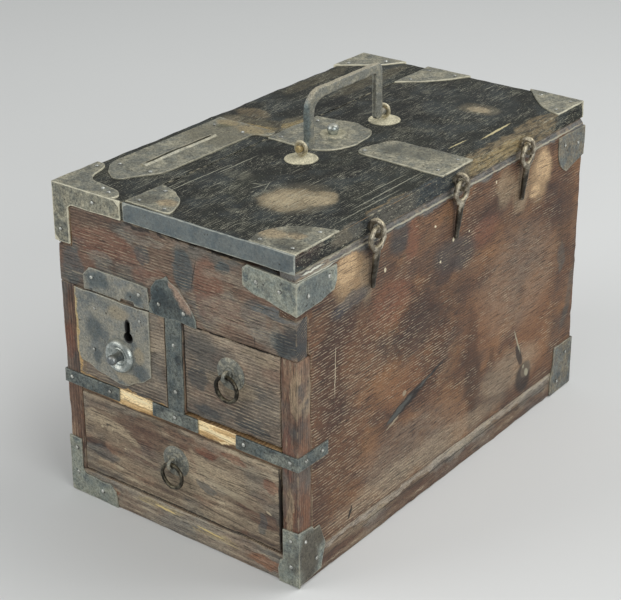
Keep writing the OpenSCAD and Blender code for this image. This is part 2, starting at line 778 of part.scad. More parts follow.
module catch_bar() {
    half = catch_bar_w / 2;
    color(dark_iron) box([catch_at[0] - half, catch_at[1] - half, bar_top - catch_bar_t],
        [catch_at[0] + half, catch_at[1] + bar_reach - 2, bar_top]);
}

// Drawers. An opening is [left, right, bottom, top]
lock_hole = [in_l, div_l, shelf_top, floor_z];
small_hole = [div_r, in_r, shelf_top, floor_z];
large_hole = [in_l, in_r, base_t, shelf_z];

module drawer_front(hole, lift, proud = 0, gap_right = drawer_gap) {
    color(red_wood) box([hole[0] + drawer_gap, front - proud, hole[2] + lift],
        [hole[1] - gap_right, lock_back, hole[3] - drawer_gap]);
}

module drawer_sides(hole) {
    z0 = hole[2] + drawer_bottom_t;
    z1 = hole[3] - drawer_drop;
    l = hole[0] + drawer_gap;
    r = hole[1] - drawer_gap;
    color(pale_wood) {
        box([l, lock_back, z0], [l + drawer_wall_t, drawer_end, z1]);
        box([r - drawer_wall_t, lock_back, z0], [r, drawer_end, z1]);
    }
}

module drawer_back(hole) {
    color(pale_wood) box([hole[0] + drawer_gap + drawer_wall_t, drawer_end - drawer_wall_t,
            hole[2] + drawer_bottom_t],
        [hole[1] - drawer_gap - drawer_wall_t, drawer_end, hole[3] - drawer_drop - 4]);
}

module drawer_bottom(hole) {
    color(pale_wood) box([hole[0] + drawer_gap, lock_back, hole[2]],
        [hole[1] - drawer_gap, drawer_end, hole[2] + drawer_bottom_t]);
}

// The keyhole: a round part with a narrow part above it
module keyhole(y0, y1) {
    translate([key_at[0], y1, key_at[1]]) rotate([90, 0, 0]) cylinder(d = key_d, h = y1 - y0);
    box([key_at[0] - key_slit / 2, y0, key_at[1]], [key_at[0] + key_slit / 2, y1, key_at[1] + key_h]);
}

// The front of the lock drawer is cut out behind for the lock case, up to its top edge
module lock_drawer_front() {
    color(red_wood) difference() {
        drawer_front(lock_hole, lock_front_lift, lock_front_proud);
        box([key_at[0] - lock_case_w / 2, lock_back - lock_case_d, lock_top - lock_case_h],
            [key_at[0] + lock_case_w / 2, lock_back + 1, floor_z + 1]);
        keyhole(lock_face - 1, lock_back);
    }
}

module lock_drawer_sides() {
    drawer_sides(lock_hole);
}

module lock_drawer_back() {
    drawer_back(lock_hole);
}

module lock_drawer_bottom() {
    drawer_bottom(lock_hole);
}

// Lock plate: square at the top, with a scalloped and pointed lower outline
module lock_plate() {
    w = plate_r - plate_l;
    edge = [[0, 22], [0.05, 16], [0.15, 15], [0.25, 11], [0.37, 10], [0.49, 7.5], [0.585, 5.5],
        [0.68, 7], [0.77, 12], [0.9, 16], [1, 23]];
    lower = [for (p = edge) [plate_l + w * p[0], shelf_top + p[1]]];
    color(iron) difference() {
        on_front(concat(lower, [[plate_r, lock_top], [plate_l, lock_top]]), lock_face);
        keyhole(lock_face - 3, lock_face + 1);
    }
}

module lock_boss() {
    color(iron) translate([knob_at[0], lock_face - iron_t, knob_at[1]]) rotate([90, 0, 0])
        dome(boss_d, boss_h);
}

module lock_knob() {
    color(dark_iron) translate([knob_at[0], lock_face - iron_t - boss_h, knob_at[1]]) rotate([90, 0, 0])
        ball_knob(knob_d, knob_out - boss_h, 3.5);
}

// Lock case: a box let into the back of the drawer front, open at the top for the bolt
module lock_case() {
    half = lock_case_w / 2;
    w = lock_case_wall;
    z0 = lock_top - lock_case_h;
    half_w = bolt_w / 2 + bolt_gap;
    half_t = bolt_t / 2 + bolt_gap;
    color(dark_iron) difference() {
        box([key_at[0] - half, lock_back - lock_case_d, z0], [key_at[0] + half, lock_back, lock_top]);
        box([key_at[0] - half + w, lock_back - lock_case_d + w, z0 + w],
            [key_at[0] + half - w, lock_back - w, lock_top - w]);
        box([key_at[0] - half_w, bolt_y - half_t, lock_top - w - 1],
            [key_at[0] + half_w, bolt_y + half_t, lock_top + 1]);
        keyhole(lock_face, bolt_y);
    }
}

module lock_bolt() {
    color(iron) box([key_at[0] - bolt_w / 2, bolt_y - bolt_t / 2, lock_top - bolt_l],
        [key_at[0] + bolt_w / 2, bolt_y + bolt_t / 2, lock_top]);
}

// Pull fittings: a rosette on the drawer front, with a shank and an eye for the ring
module pull_rosette(at) {
    translate([at[0], front, at[1]]) rotate([90, 0, 0]) {
        color(dark_iron) dome(rosette_d, rosette_h);
        color(dark_iron) cylinder(r = pull_eye_wire + 0.4, h = pull_out - pull_eye_r);
        color(dark_iron) translate([0, 0, pull_out]) rotate([0, 90, 0])
            wire_ring(pull_eye_r, pull_eye_wire);
    }
}

// A ring hangs in its eye from the top of its wire
module pull_ring(at) {
    color(dark_iron) translate([at[0], front - pull_out, at[1] - ring_seat - ring_r]) rotate([90, 0, 0])
        wire_ring(ring_r, ring_wire);
}

module small_drawer_front() {
    drawer_front(small_hole, small_front_lift);
}

module small_drawer_sides() {
    drawer_sides(small_hole);
}

module small_drawer_back() {
    drawer_back(small_hole);
}

module small_drawer_bottom() {
    drawer_bottom(small_hole);
}

module small_pull_rosette() {
    pull_rosette(small_pull);
}

module small_pull_ring() {
    pull_ring(small_pull);
}

module large_drawer_front() {
    drawer_front(large_hole, large_front_lift, 0, large_gap_right);
}

module large_drawer_sides() {
    drawer_sides(large_hole);
}

module large_drawer_back() {
    drawer_back(large_hole);
}

module large_drawer_bottom() {
    drawer_bottom(large_hole);
}

module large_pull_rosette() {
    pull_rosette(large_pull);
}

module large_pull_ring() {
    pull_ring(large_pull);
}

bottom_board();
left_side_board();
right_side_board();
back_board();
front_top_board();
front_posts();
middle_shelf();
drawer_divider();
well_floor();
chute_partition();
fixed_top_strip();
coin_slot_plate();
strip_front_iron();
strip_back_iron();
case_iron_front();
case_iron_back();
base_irons_front();
base_irons_back();
rail_straps();
divider_strap();
divider_cap_plate();
strike_plate();
case_nails();
hinge_case_eyes();
lid_board();
lid_front_band();
lid_irons_front();
lid_irons_back();
lid_centre_plate();
lid_side_strap();
hinge_lid_eyes();
handle_washers();
handle_eyes();
catch_washer();
lid_nails();
bail_handle();
catch_knob();
catch_bar();
lock_drawer_front();
lock_drawer_sides();
lock_drawer_back();
lock_drawer_bottom();
lock_plate();
lock_boss();
lock_knob();
lock_case();
lock_bolt();
small_drawer_front();
small_drawer_sides();
small_drawer_back();
small_drawer_bottom();
small_pull_rosette();
small_pull_ring();
large_drawer_front();
large_drawer_sides();
large_drawer_back();
large_drawer_bottom();
large_pull_rosette();
large_pull_ring();
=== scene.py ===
"""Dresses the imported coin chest: worn boards, cut sheet irons, forged rings and a bail, on a pale floor."""

import json
import math

import bpy
import numpy as np
from mathutils import Matrix, Vector

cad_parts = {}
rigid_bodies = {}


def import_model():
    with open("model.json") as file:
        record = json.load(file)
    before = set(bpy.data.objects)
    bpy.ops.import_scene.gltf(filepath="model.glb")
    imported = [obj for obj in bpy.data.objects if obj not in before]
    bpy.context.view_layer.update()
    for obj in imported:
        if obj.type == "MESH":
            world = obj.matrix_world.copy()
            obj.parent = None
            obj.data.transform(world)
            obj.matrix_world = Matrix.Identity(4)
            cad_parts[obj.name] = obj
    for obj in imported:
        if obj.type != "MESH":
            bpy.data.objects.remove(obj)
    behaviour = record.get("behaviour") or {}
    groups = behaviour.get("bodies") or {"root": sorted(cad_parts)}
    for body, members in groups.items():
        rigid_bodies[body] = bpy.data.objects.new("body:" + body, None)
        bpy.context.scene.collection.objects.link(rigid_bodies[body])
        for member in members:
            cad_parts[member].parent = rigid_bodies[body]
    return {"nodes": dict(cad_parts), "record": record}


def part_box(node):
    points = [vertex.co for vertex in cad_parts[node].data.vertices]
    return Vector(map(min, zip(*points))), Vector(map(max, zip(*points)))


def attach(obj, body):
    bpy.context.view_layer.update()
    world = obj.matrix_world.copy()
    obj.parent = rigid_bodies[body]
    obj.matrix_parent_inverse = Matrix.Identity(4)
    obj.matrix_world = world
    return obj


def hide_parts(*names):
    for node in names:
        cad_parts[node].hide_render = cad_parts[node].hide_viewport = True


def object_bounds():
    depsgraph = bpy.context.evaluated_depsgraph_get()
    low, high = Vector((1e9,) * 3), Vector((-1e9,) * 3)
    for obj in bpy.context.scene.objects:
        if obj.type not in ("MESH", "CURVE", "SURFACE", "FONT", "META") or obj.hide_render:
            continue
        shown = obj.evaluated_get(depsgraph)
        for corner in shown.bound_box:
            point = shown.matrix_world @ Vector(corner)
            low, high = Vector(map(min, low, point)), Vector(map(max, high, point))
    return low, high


bl_info = {
    "name": "Coin Chest",
    "version": (1, 0, 0),
    "blender": (4, 5, 0),
    "location": "View3D > Sidebar > Coin Chest",
    "description": "Builds the looks of a wooden coin chest with iron fittings",
    "category": "Object",
}

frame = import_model()
CAD_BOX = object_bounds()
NODES = frame["nodes"]
BODY_OF = {n: body for body, names in frame["record"]["behaviour"]["bodies"].items() for n in names}
SLOT_OF = {row["node"]: row["material_slot"] for row in frame["record"]["subparts"]}
MM = 0.001

# Places in the chest's own frame, in millimetres
SIDE_X = 124.0  # the right side, under its irons
FRONT_Y = -214.0  # the front of the boards
PLATE_Y = -216.0  # the front of the lock plate
TOP_Z = 288.0  # the upper face of the top boards
SLOT_X = -89.0  # the middle of the coin slot
SLOT_PLATE_Z = 289.1  # the upper face of the slot's plate
CASE_X, CASE_Y = 120.5, 212.9  # just inside the case's outer edges
STRIP_EDGE_X = -48.5  # where the fixed strip ends
LID_EDGE_X = 122.0  # the lid's right edge
HINGES_Y = (-121, -2, 103)  # the middles of the hinges along the side
TAILS_Z = 263.2  # the hinges' tails are below this
HANDLE_X, WASHERS_Y = 5, (-54, 66)  # the bail, and its washers along it
CATCH_X, CATCH_Y = -7.5, 7
LOCK_KNOB = (-58, PLATE_Y, 151.5)
LOCK_NAILS = ((-84.0, 187.1), (-87.3, 148.6), (-33.9, 190.0))  # x and z of the lock plate's nails
PULLS = {"small": (59, FRONT_Y, 171.5), "large": (-2.5, FRONT_Y, 71)}  # where the rosettes sit

# The wear, in millimetres
BROAD_DENT, SMALL_DENT, CHIP = 30, 11, 9  # how wide they are
CHIPS_REACH = 6  # how far from an edge a board is chipped
RIM_WIDTH = 2.6  # how much of a sheet iron's edge stands up
CORNER_REACH = 7  # how far from its end an outline's corner starts to bend
THICKEST_SHEET = 1.3
GOUGE_DEPTH = 1.1

# How far a mark reaches into a board: through its face, or only as far as a rim
DEEP, SHALLOW = 30.0, 4.0


def tone(code):
    """An sRGB hex value as a linear colour with full alpha"""
    parts = [int(code[i : i + 2], 16) / 255 for i in (0, 2, 4)]
    return tuple(p / 12.92 if p <= 0.04045 else ((p + 0.055) / 1.055) ** 2.4 for p in parts) + (1.0,)


def length_prop(name, description, default, low, high):
    """A size in millimetres that a user may change"""
    return bpy.props.FloatProperty(
        name=name,
        description=description,
        default=default * MM,
        min=low * MM,
        max=high * MM,
        precision=5,
        unit="LENGTH",
    )


def colour_prop(name, description, code):
    """A colour that a user may change"""
    return bpy.props.FloatVectorProperty(
        name=name, description=description, default=tone(code)[:3], subtype="COLOR", min=0, max=1
    )


class ChestSizes(bpy.types.PropertyGroup):
    """Sizes of the wear and of the small fittings"""

    board_edge: length_prop("Board edge", "How far the boards' edges are rounded by use", 1.2, 0.3, 3)
    chips: length_prop("Chips", "How deep the boards' edges are chipped", 1.6, 0, 3)
    iron_edge: length_prop("Iron edge", "How far the edges of the sheet irons are rounded", 0.35, 0.1, 0.45)
    curl: length_prop("Curl", "How far the rims of the sheet irons stand up", 0.45, 0, 0.8)
    dents: length_prop("Dents", "How far the faces of the sheet irons are dented", 0.9, 0, 1.4)
    hammer: length_prop("Hammer marks", "How deep the forged pieces are hammered", 0.55, 0, 1)
    nail: length_prop("Nail radius", "Radius of the nails' domed heads", 2.0, 1.4, 2.4)


class ChestColours(bpy.types.PropertyGroup):
    """Colours of the boards and the irons"""

    wood_dark: colour_prop("Wood, dark", "Darkest tone of the oiled boards", "38231a")
    wood: colour_prop("Wood", "Middle tone of the oiled boards", "5c4130")
    wood_light: colour_prop("Wood, light", "Lightest tone of the oiled boards", "806047")
    dust: colour_prop("Dust in the grain", "Pale dust that lies in the open grain", "b8a98e")
    black: colour_prop("Blackened top", "Middle tone of the smoke-blackened top boards", "1b1d1a")
    bare: colour_prop("Bare wood", "Pale softwood where the surface has gone", "f8deac")
    iron: colour_prop("Sheet iron", "Sheet iron under its dust", "6f7168")
    iron_dust: colour_prop("Dust on iron", "Dust and old wax that lie on the sheet irons", "afa992")
    blue_iron: colour_prop("Blue-black iron", "Iron that has kept its blue-black scale", "505a5b")
    forged: colour_prop("Forged iron", "Forged rings, eyes and knobs", "3c3831")


# Picking things up and putting them down


def hold(piece):
    """Make a piece the only one that is selected, in object mode"""
    if bpy.context.mode != "OBJECT":
        bpy.ops.object.mode_set(mode="OBJECT")
    bpy.ops.object.select_all(action="DESELECT")
    piece.select_set(True)
    bpy.context.view_layer.objects.active = piece


def open_up(piece, action="SELECT", kind="VERT"):
    """Go into edit mode on a piece, with all of it or none of it selected"""
    hold(piece)
    bpy.ops.object.mode_set(mode="EDIT")
    bpy.ops.mesh.select_mode(type=kind)
    bpy.ops.mesh.select_all(action=action)


def points(piece):
    """The piece's points as an array"""
    spots_in = np.empty(len(piece.data.vertices) * 3)
    piece.data.vertices.foreach_get("co", spots_in)
    return spots_in.reshape(-1, 3)


def set_points(piece, places):
    """Put the piece's points where an array says"""
    piece.data.vertices.foreach_set("co", np.asarray(places, dtype=float).ravel())
    piece.data.update()


def merged_copy(node, name):
    """A new piece from a CAD node's mesh, its loose triangles merged into whole faces"""
    piece = bpy.data.objects.new(name, NODES[node].data.copy())
    bpy.context.scene.collection.objects.link(piece)
    open_up(piece)
    bpy.ops.mesh.customdata_custom_splitnormals_clear()
    bpy.ops.mesh.remove_doubles(threshold=0.005 * MM)
    bpy.ops.mesh.dissolve_limited(angle_limit=math.radians(0.5))
    hold(piece)
    return piece


def join(pieces, name):
    """Make several pieces one"""
    hold(pieces[0])
    for piece in pieces[1:]:
        piece.select_set(True)
    bpy.ops.object.join()
    bpy.context.object.name = name
    return bpy.context.object


def settle(piece, place=(0, 0, 0), turn=(0, 0, 0), size=(1, 1, 1)):
    """Turn and move a piece to its place in millimetres, and keep that in its mesh"""
    hold(piece)
    piece.scale = size
    piece.rotation_euler = [math.radians(t) for t in turn]
    piece.location = [p * MM for p in place]
    bpy.ops.object.transform_apply(location=True, rotation=True, scale=True)
    return piece


def copy_of(piece):
    """A copy with its own mesh"""
    hold(piece)
    bpy.ops.object.duplicate(linked=False)
    return bpy.context.object


def sharp_edges(piece):
    """The ends of the piece's edges that turn by more than 30 degrees"""
    open_up(piece, "DESELECT", "EDGE")
    bpy.ops.mesh.edges_select_sharp(sharpness=math.radians(30))
    hold(piece)
    places = points(piece)
    ends = [edge.vertices for edge in piece.data.edges if edge.select]
    return np.array([[places[a], places[b]] for a, b in ends])


def edge_distance(places, edges):
    """How far each point is from the nearest edge, in millimetres"""
    nearest = np.full(len(places), 1.0)
    for a, b in edges:
        along = b - a
        share = np.clip((places - a) @ along / max(along @ along, 1e-12), 0, 1)
        nearest = np.minimum(nearest, np.linalg.norm(places - a - share[:, None] * along, axis=1))
    return nearest / MM


def apply_modifier(piece, kind, **settings):
    """Add a modifier with its settings to a piece, and apply it"""
    hold(piece)
    modifier = piece.modifiers.new(kind.title(), kind)
    for name, value in settings.items():
        setattr(modifier, name, value)
    bpy.ops.object.modifier_apply(modifier=modifier.name)


def weigh(piece, name, weights):
    """Name a group of the piece's points, with a weight for each"""
    group = piece.vertex_groups.new(name=name)
    for i, weight in enumerate(weights):
        group.add([i], float(weight), "REPLACE")


def score(piece, step):
    """Cut a piece's faces into a grid of a step in millimetres, so that they can be dented"""
    places = points(piece)
    low, high = places.min(0), places.max(0)
    open_up(piece)
    for axis in range(3):
        span = (high[axis] - low[axis]) / MM
        # Narrow faces get five strips all the same, and thicknesses none
        count = max(int(span / step), 5 if span > 6 else 1)
        for i in range(1, count):
            spot = [0.0, 0.0, 0.0]
            spot[axis] = low[axis] + (high[axis] - low[axis]) * i / count
            facing = [float(axis == k) for k in range(3)]
            bpy.ops.mesh.select_all(action="SELECT")
            bpy.ops.mesh.bisect(plane_co=spot, plane_no=facing)
    hold(piece)


def batter(piece, depth, size, way="RGB_TO_XYZ", group="", middle=0.5):
    """Push a piece's surface about by a cloud pattern of a size in millimetres"""
    name = f"dents {size} mm {way}"
    clouds = bpy.data.textures.get(name) or bpy.data.textures.new(name, "CLOUDS")
    clouds.cloud_type = "COLOR" if way == "RGB_TO_XYZ" else "GRAYSCALE"
    clouds.noise_scale = size * MM
    clouds.noise_depth = 2
    apply_modifier(
        piece,
        "DISPLACE",
        texture=clouds,
        texture_coords="LOCAL",
        direction=way,
        strength=depth,
        mid_level=middle,
        vertex_group=group,
    )


def hollow(piece, places):
    """Press soft hollows into the right side, at places such as on_side gives"""
    at = points(piece)
    for middle, half, turn in places:
        lean = Matrix.Rotation(math.radians(turn[0]), 3, "X")
        inside = (at / MM - np.array(middle)) @ np.array(lean) / np.array(half)
        at[:, 0] -= np.clip(1 - (inside**2).sum(1), 0, 1) * GOUGE_DEPTH * MM
    set_points(piece, at)


def mark_wear(piece, edges):
    """Keep each point's distance from a sharp edge, up to 30 mm, as the attribute that the finishes read"""
    far = np.minimum(edge_distance(points(piece), edges), 30)
    layer = piece.data.attributes.new("edge", "FLOAT", "POINT")
    layer.data.foreach_set("value", far.astype(np.float32))


def keep_inside(piece):
    """Hold a piece within the CAD model's box"""
    low, high = np.array(CAD_BOX[0]), np.array(CAD_BOX[1])
    set_points(piece, np.clip(points(piece), low, high))


def finish_piece(piece, finish, node, smooth=40, stands_in=True):
    """Give a piece its finish, and the body of the CAD node that it stands in for or goes with"""
    hold(piece)
    bpy.ops.object.shade_smooth_by_angle(angle=math.radians(smooth))
    keep_inside(piece)
    piece.data.materials.clear()
    piece.data.materials.append(finish)
    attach(piece, BODY_OF[node])
    if stands_in:
        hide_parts(node)
    return piece


def dress_board(node, finish, sizes, step=8, hollows=(), other=None, ways=()):
    """A board: its edges rounded, chipped and dented, in place of its CAD node.

    Faces that look one of the given ways get another finish."""
    piece = merged_copy(node, "worn_" + node)
    edges = sharp_edges(piece)
    apply_modifier(piece, "BEVEL", width=sizes.board_edge, segments=2, limit_method="ANGLE", angle_limit=0.5)
    score(piece, step)
    far = edge_distance(points(piece), edges)
    weigh(piece, "near edges", np.clip(1 - far / CHIPS_REACH, 0, 1))
    batter(piece, -sizes.chips, CHIP, "NORMAL", "near edges", 0.35)
    batter(piece, 0.9 * MM, BROAD_DENT)
    batter(piece, 0.5 * MM, SMALL_DENT)
    hollow(piece, hollows)
    mark_wear(piece, edges)
    finish_piece(piece, finish, node)
    if other:
        piece.data.materials.append(other)
        for face in piece.data.polygons:
            face.material_index = int(any(face.normal.dot(way) > 0.7 for way in ways))


def on_border(spot):
    """Whether a corner of a plate lies on an edge of the case or the lid, where it stays square"""
    x, y, z = spot
    on_case = abs(x) > CASE_X or abs(y) > CASE_Y
    on_strip = abs(x - STRIP_EDGE_X) < 1.5
    on_lid = z > TOP_Z - 1 and abs(x - LID_EDGE_X) < 0.5
    return on_case or on_strip or on_lid


def round_corners(piece):
    """Round the corners of a plate's outline, as shears and a file leave them"""
    mesh = piece.data
    places = points(piece) / MM
    meeting = {}
    for edge in mesh.edges:
        for i in edge.vertices:
            meeting.setdefault(i, []).append(edge.index)
    span = [np.linalg.norm(places[e.vertices[0]] - places[e.vertices[1]]) for e in mesh.edges]
    weights = np.zeros(len(mesh.edges), np.float32)
    for edge in mesh.edges:
        a, b = edge.vertices
        # Only edges as short as the sheet is thick, which stand at the outline's corners
        if span[edge.index] > THICKEST_SHEET or on_border((places[a] + places[b]) / 2):
            continue
        beside = [span[i] for v in (a, b) for i in meeting[v] if i != edge.index]
        if len(beside) == 4 and min(beside) > 3:
            weights[edge.index] = min(1.0, 0.42 * min(beside) / CORNER_REACH)
    layer = mesh.attributes.new("bevel_weight_edge", "FLOAT", "EDGE")
    layer.data.foreach_set("value", weights)
    apply_modifier(
        piece,
        "BEVEL",
        width=CORNER_REACH * MM,
        segments=4,
        limit_method="WEIGHT",
        use_clamp_overlap=False,
        offset_type="OFFSET",
    )


def dress_iron(node, finish, sizes, waves="", lips=False):
    """A sheet iron: a hand-cut outline, a raised rim and dents, in place of its CAD node"""
    piece = merged_copy(node, "cut_" + node)
    round_corners(piece)
    edges = sharp_edges(piece)
    apply_modifier(piece, "BEVEL", width=sizes.iron_edge, segments=2, limit_method="ANGLE", angle_limit=0.5)
    score(piece, 5)
    mark_wear(piece, edges)
    for way in waves:
        batter(piece, 2.6 * MM, 17, way)
    if lips:
        raise_lips(piece)
    far = edge_distance(points(piece), edges)
    weigh(piece, "rim", np.clip(1 - far / RIM_WIDTH, 0, 1) ** 2)
    apply_modifier(
        piece, "DISPLACE", strength=sizes.curl, mid_level=0.0, direction="NORMAL", vertex_group="rim"
    )
    batter(piece, sizes.dents, BROAD_DENT)
    batter(piece, 0.55 * sizes.dents, SMALL_DENT)
    return finish_piece(piece, finish, node, smooth=30)


def raise_lips(piece):
    """Lean the two lips of the coin slot over it, so that the slot narrows to the thickness of a coin"""
    places = points(piece) / MM
    high = np.clip((places[:, 2] - SLOT_PLATE_Z) / 1.4, 0, 1)
    near = np.abs(places[:, 0] - SLOT_X) < 6
    places[:, 0] += np.where(near, high * (SLOT_X - places[:, 0]) * 0.42, 0)
    set_points(piece, places * MM)


def forge(piece, sizes, voxel, size, rounds=2, strength=1.0):
    """Weld a piece's shapes into one body, soften its joints and hammer its faces"""
    apply_modifier(piece, "REMESH", mode="VOXEL", voxel_size=voxel * MM)
    apply_modifier(piece, "SMOOTH", factor=0.5, iterations=rounds)
    batter(piece, sizes.hammer * strength, size)
    batter(piece, sizes.hammer * strength * 1.3, size * 2.6)
    return piece


def turned(name, profile, steps=40):
    """A piece of revolution about Z: rows of radius and height are drawn point by point, then spun"""
    bpy.ops.object.select_all(action="DESELECT")
    bpy.ops.mesh.primitive_plane_add(size=MM)
    piece = bpy.context.object
    piece.name = name
    open_up(piece)
    bpy.ops.mesh.merge(type="CENTER")
    bpy.ops.transform.translate(value=(profile[0][0] * MM, 0, profile[0][1] * MM))
    for (r0, h0), (r1, h1) in zip(profile, profile[1:]):
        step = ((r1 - r0) * MM, 0, (h1 - h0) * MM)
        bpy.ops.mesh.extrude_region_move(TRANSFORM_OT_translate={"value": step})
    bpy.ops.mesh.select_all(action="SELECT")
    bpy.ops.mesh.spin(steps=steps, angle=2 * math.pi, center=(0, 0, 0), axis=(0, 0, 1))
    bpy.ops.mesh.select_all(action="SELECT")
    bpy.ops.mesh.remove_doubles(threshold=0.004 * MM)
    bpy.ops.mesh.normals_make_consistent(inside=False)
    hold(piece)
    return piece


# Patterns that the finishes share


def add(tree, kind, links=(), out=0, stops=(), **settings):
    """Add a shader node with its settings and its inputs, and give one of its outputs"""
    node = tree.nodes.new("ShaderNode" + kind)
    for name, value in settings.items():
        setattr(node, name, value)
    for spot, value in dict(links).items():
        if isinstance(value, bpy.types.NodeSocket):
            tree.links.new(value, node.inputs[spot])
        else:
            node.inputs[spot].default_value = value
    for i, (place, colour) in enumerate(stops):
        stop = node.color_ramp.elements[i] if i < 2 else node.color_ramp.elements.new(place)
        stop.position, stop.color = place, colour
    return node.outputs[out]


def paint(colour):
    """A colour given as a hex value or as a property, with full alpha"""
    return tone(colour) if isinstance(colour, str) else (*colour[:3], 1.0)


def new_finish(name):
    """An empty material with its shader, and object coordinates in millimetres"""
    finish = bpy.data.materials.new(name)
    finish.use_nodes = True
    tree = finish.node_tree
    shader = tree.nodes["Principled BSDF"]
    metres = add(tree, "TexCoord", out="Object")
    place = add(tree, "VectorMath", {0: metres, "Scale": 1 / MM}, operation="SCALE")
    return finish, tree, shader, place


def lay_over(tree, below, colour, mask, share=1.0):
    """Lay a colour over what is there, by a mask and a share"""
    part = add(tree, "Math", {0: mask, 1: share}, operation="MULTIPLY")
    above = colour if isinstance(colour, bpy.types.NodeSocket) else paint(colour)
    return add(tree, "Mix", {0: part, 6: below, 7: above}, out=2, data_type="RGBA")


def ragged(tree, place, size, reach):
    """Coordinates pushed about, so that what is placed by them has ragged outlines"""
    links = {"Vector": place, "Scale": 1 / size, "Detail": 5.0, "Roughness": 0.62}
    cloud = add(tree, "TexNoise", links, out="Color")
    centred = add(tree, "VectorMath", {0: cloud, 1: (0.5, 0.5, 0.5)}, operation="SUBTRACT")
    push = add(tree, "VectorMath", {0: centred, "Scale": reach * 2.0}, operation="SCALE")
    return add(tree, "VectorMath", {0: place, 1: push}, operation="ADD")


def spots(tree, place, places, soft=0.5):
    """A mask of ellipsoids with soft rims: each is its middle, its half sizes and its turn in degrees"""
    mask = None
    for middle, half, turn in places:
        inside = add(
            tree,
            "Mapping",
            {"Vector": place, "Location": middle, "Scale": half, "Rotation": [math.radians(t) for t in turn]},
            vector_type="TEXTURE",
        )
        length = add(tree, "VectorMath", {0: inside}, out="Value", operation="LENGTH")
        one = add(tree, "MapRange", {0: length, 1: 1 + soft, 2: 1 - soft}, interpolation_type="SMOOTHSTEP")
        mask = one if mask is None else add(tree, "Math", {0: mask, 1: one}, operation="MAXIMUM")
    return mask


def streaks(tree, place, axis, along, across, low, high, seed, detail):
    """A mask of streaks along an axis, of a length and a width in millimetres"""
    scale = [1 / along if axis == k else 1 / across for k in range(3)]
    start = (seed, seed * 1.7, seed * 0.6)
    stretched = add(tree, "Mapping", {"Vector": place, "Scale": scale, "Location": start})
    cloud = add(tree, "TexNoise", {"Vector": stretched, "Scale": 1.0, "Detail": detail})
    return add(tree, "MapRange", {0: cloud, 1: low, 2: high})


def near_edge(tree, place, width, waver):
    """A mask of the rubbed edges: it reads how far the surface is from a sharp edge"""
    far = add(tree, "Attribute", out="Fac", attribute_name="edge")
    shift = add(tree, "TexNoise", {"Vector": place, "Scale": 1 / 8, "Detail": 5.0, "Roughness": 0.6})
    rim = add(tree, "Math", {0: shift, 1: waver, 2: far}, operation="MULTIPLY_ADD")
    start = waver * 0.5 + width
    return add(tree, "MapRange", {0: rim, 1: start + 0.3, 2: start - 0.3})


def on_side(*rows):
    """Places on the right side, from rows of y, z, half y, half z and the turn of one that leans"""
    return [((SIDE_X, y, z), (DEEP, ry, rz), (sum(turn), 0, 0)) for y, z, ry, rz, *turn in rows]


def on_front(*rows):
    """Places on the front, from rows of x, z, half x, half z and the turn of one that leans"""
    return [((x, FRONT_Y, z), (rx, DEEP, rz), (0, -sum(turn), 0)) for x, z, rx, rz, *turn in rows]


def on_rim(*rows):
    """Places on the front that don't reach a board's sides, from rows of x, z, half x and half z"""
    return [((x, FRONT_Y, z), (rx, SHALLOW, rz), (0, 0, 0)) for x, z, rx, rz in rows]


def on_top(*rows):
    """Places on the top, from rows of x, y, half x, half y and the turn of one that leans"""
    return [((x, y, TOP_Z), (rx, ry, DEEP), (0, 0, sum(turn))) for x, y, rx, ry, *turn in rows]


def blot(x, y, z, rx, ry, rz):
    """One place in the round, from its middle and its half sizes"""
    return (x, y, z), (rx, ry, rz), (0, 0, 0)


def line(a0, b0, a1, b1, r):
    """A thin mark from one point to another, as a row of the lists above"""
    run, lean = math.dist((a0, b0), (a1, b1)), math.atan2(b1 - b0, a1 - a0)
    return (a0 + a1) / 2, (b0 + b1) / 2, run / 2, r, math.degrees(lean)


def mottle(tree, colour, cloud, low, high, dark, light):
    """Darken and lighten a colour by a cloud pattern"""
    shade = add(tree, "MapRange", {0: cloud, 1: low, 2: high, 3: dark, 4: light})
    return add(tree, "Mix", {0: 1.0, 6: colour, 7: shade}, out=2, data_type="RGBA", blend_type="MULTIPLY")


def coat(tree, shader, colour, relief, strength, depth, mask, smooth, matt):
    """Give the shader its colour, a relief of a depth in millimetres, and a roughness that follows a mask"""
    bump = add(tree, "Bump", {"Height": relief, "Strength": strength, "Distance": depth * MM})
    rough = add(tree, "MapRange", {0: mask, 3: smooth, 4: matt})
    for spot, value in (("Base Color", colour), ("Normal", bump), ("Roughness", rough)):
        tree.links.new(value, shader.inputs[spot])


def growth(tree, place, axis, pith, period):
    """Growth rings of a period in millimetres about a pith, drawn out along the grain"""
    scale = [0.1 if axis == k else 1.0 for k in range(3)]
    shift = [-p * s for p, s in zip(pith, scale)]
    at = add(tree, "Mapping", {"Vector": place, "Location": shift, "Scale": scale})
    return add(
        tree,
        "TexWave",
        {"Vector": at, "Scale": 0.314 / period, "Distortion": 11.0, "Detail": 3.0, "Detail Scale": 0.05},
        wave_type="RINGS",
        rings_direction="XYZ"[axis],
    )


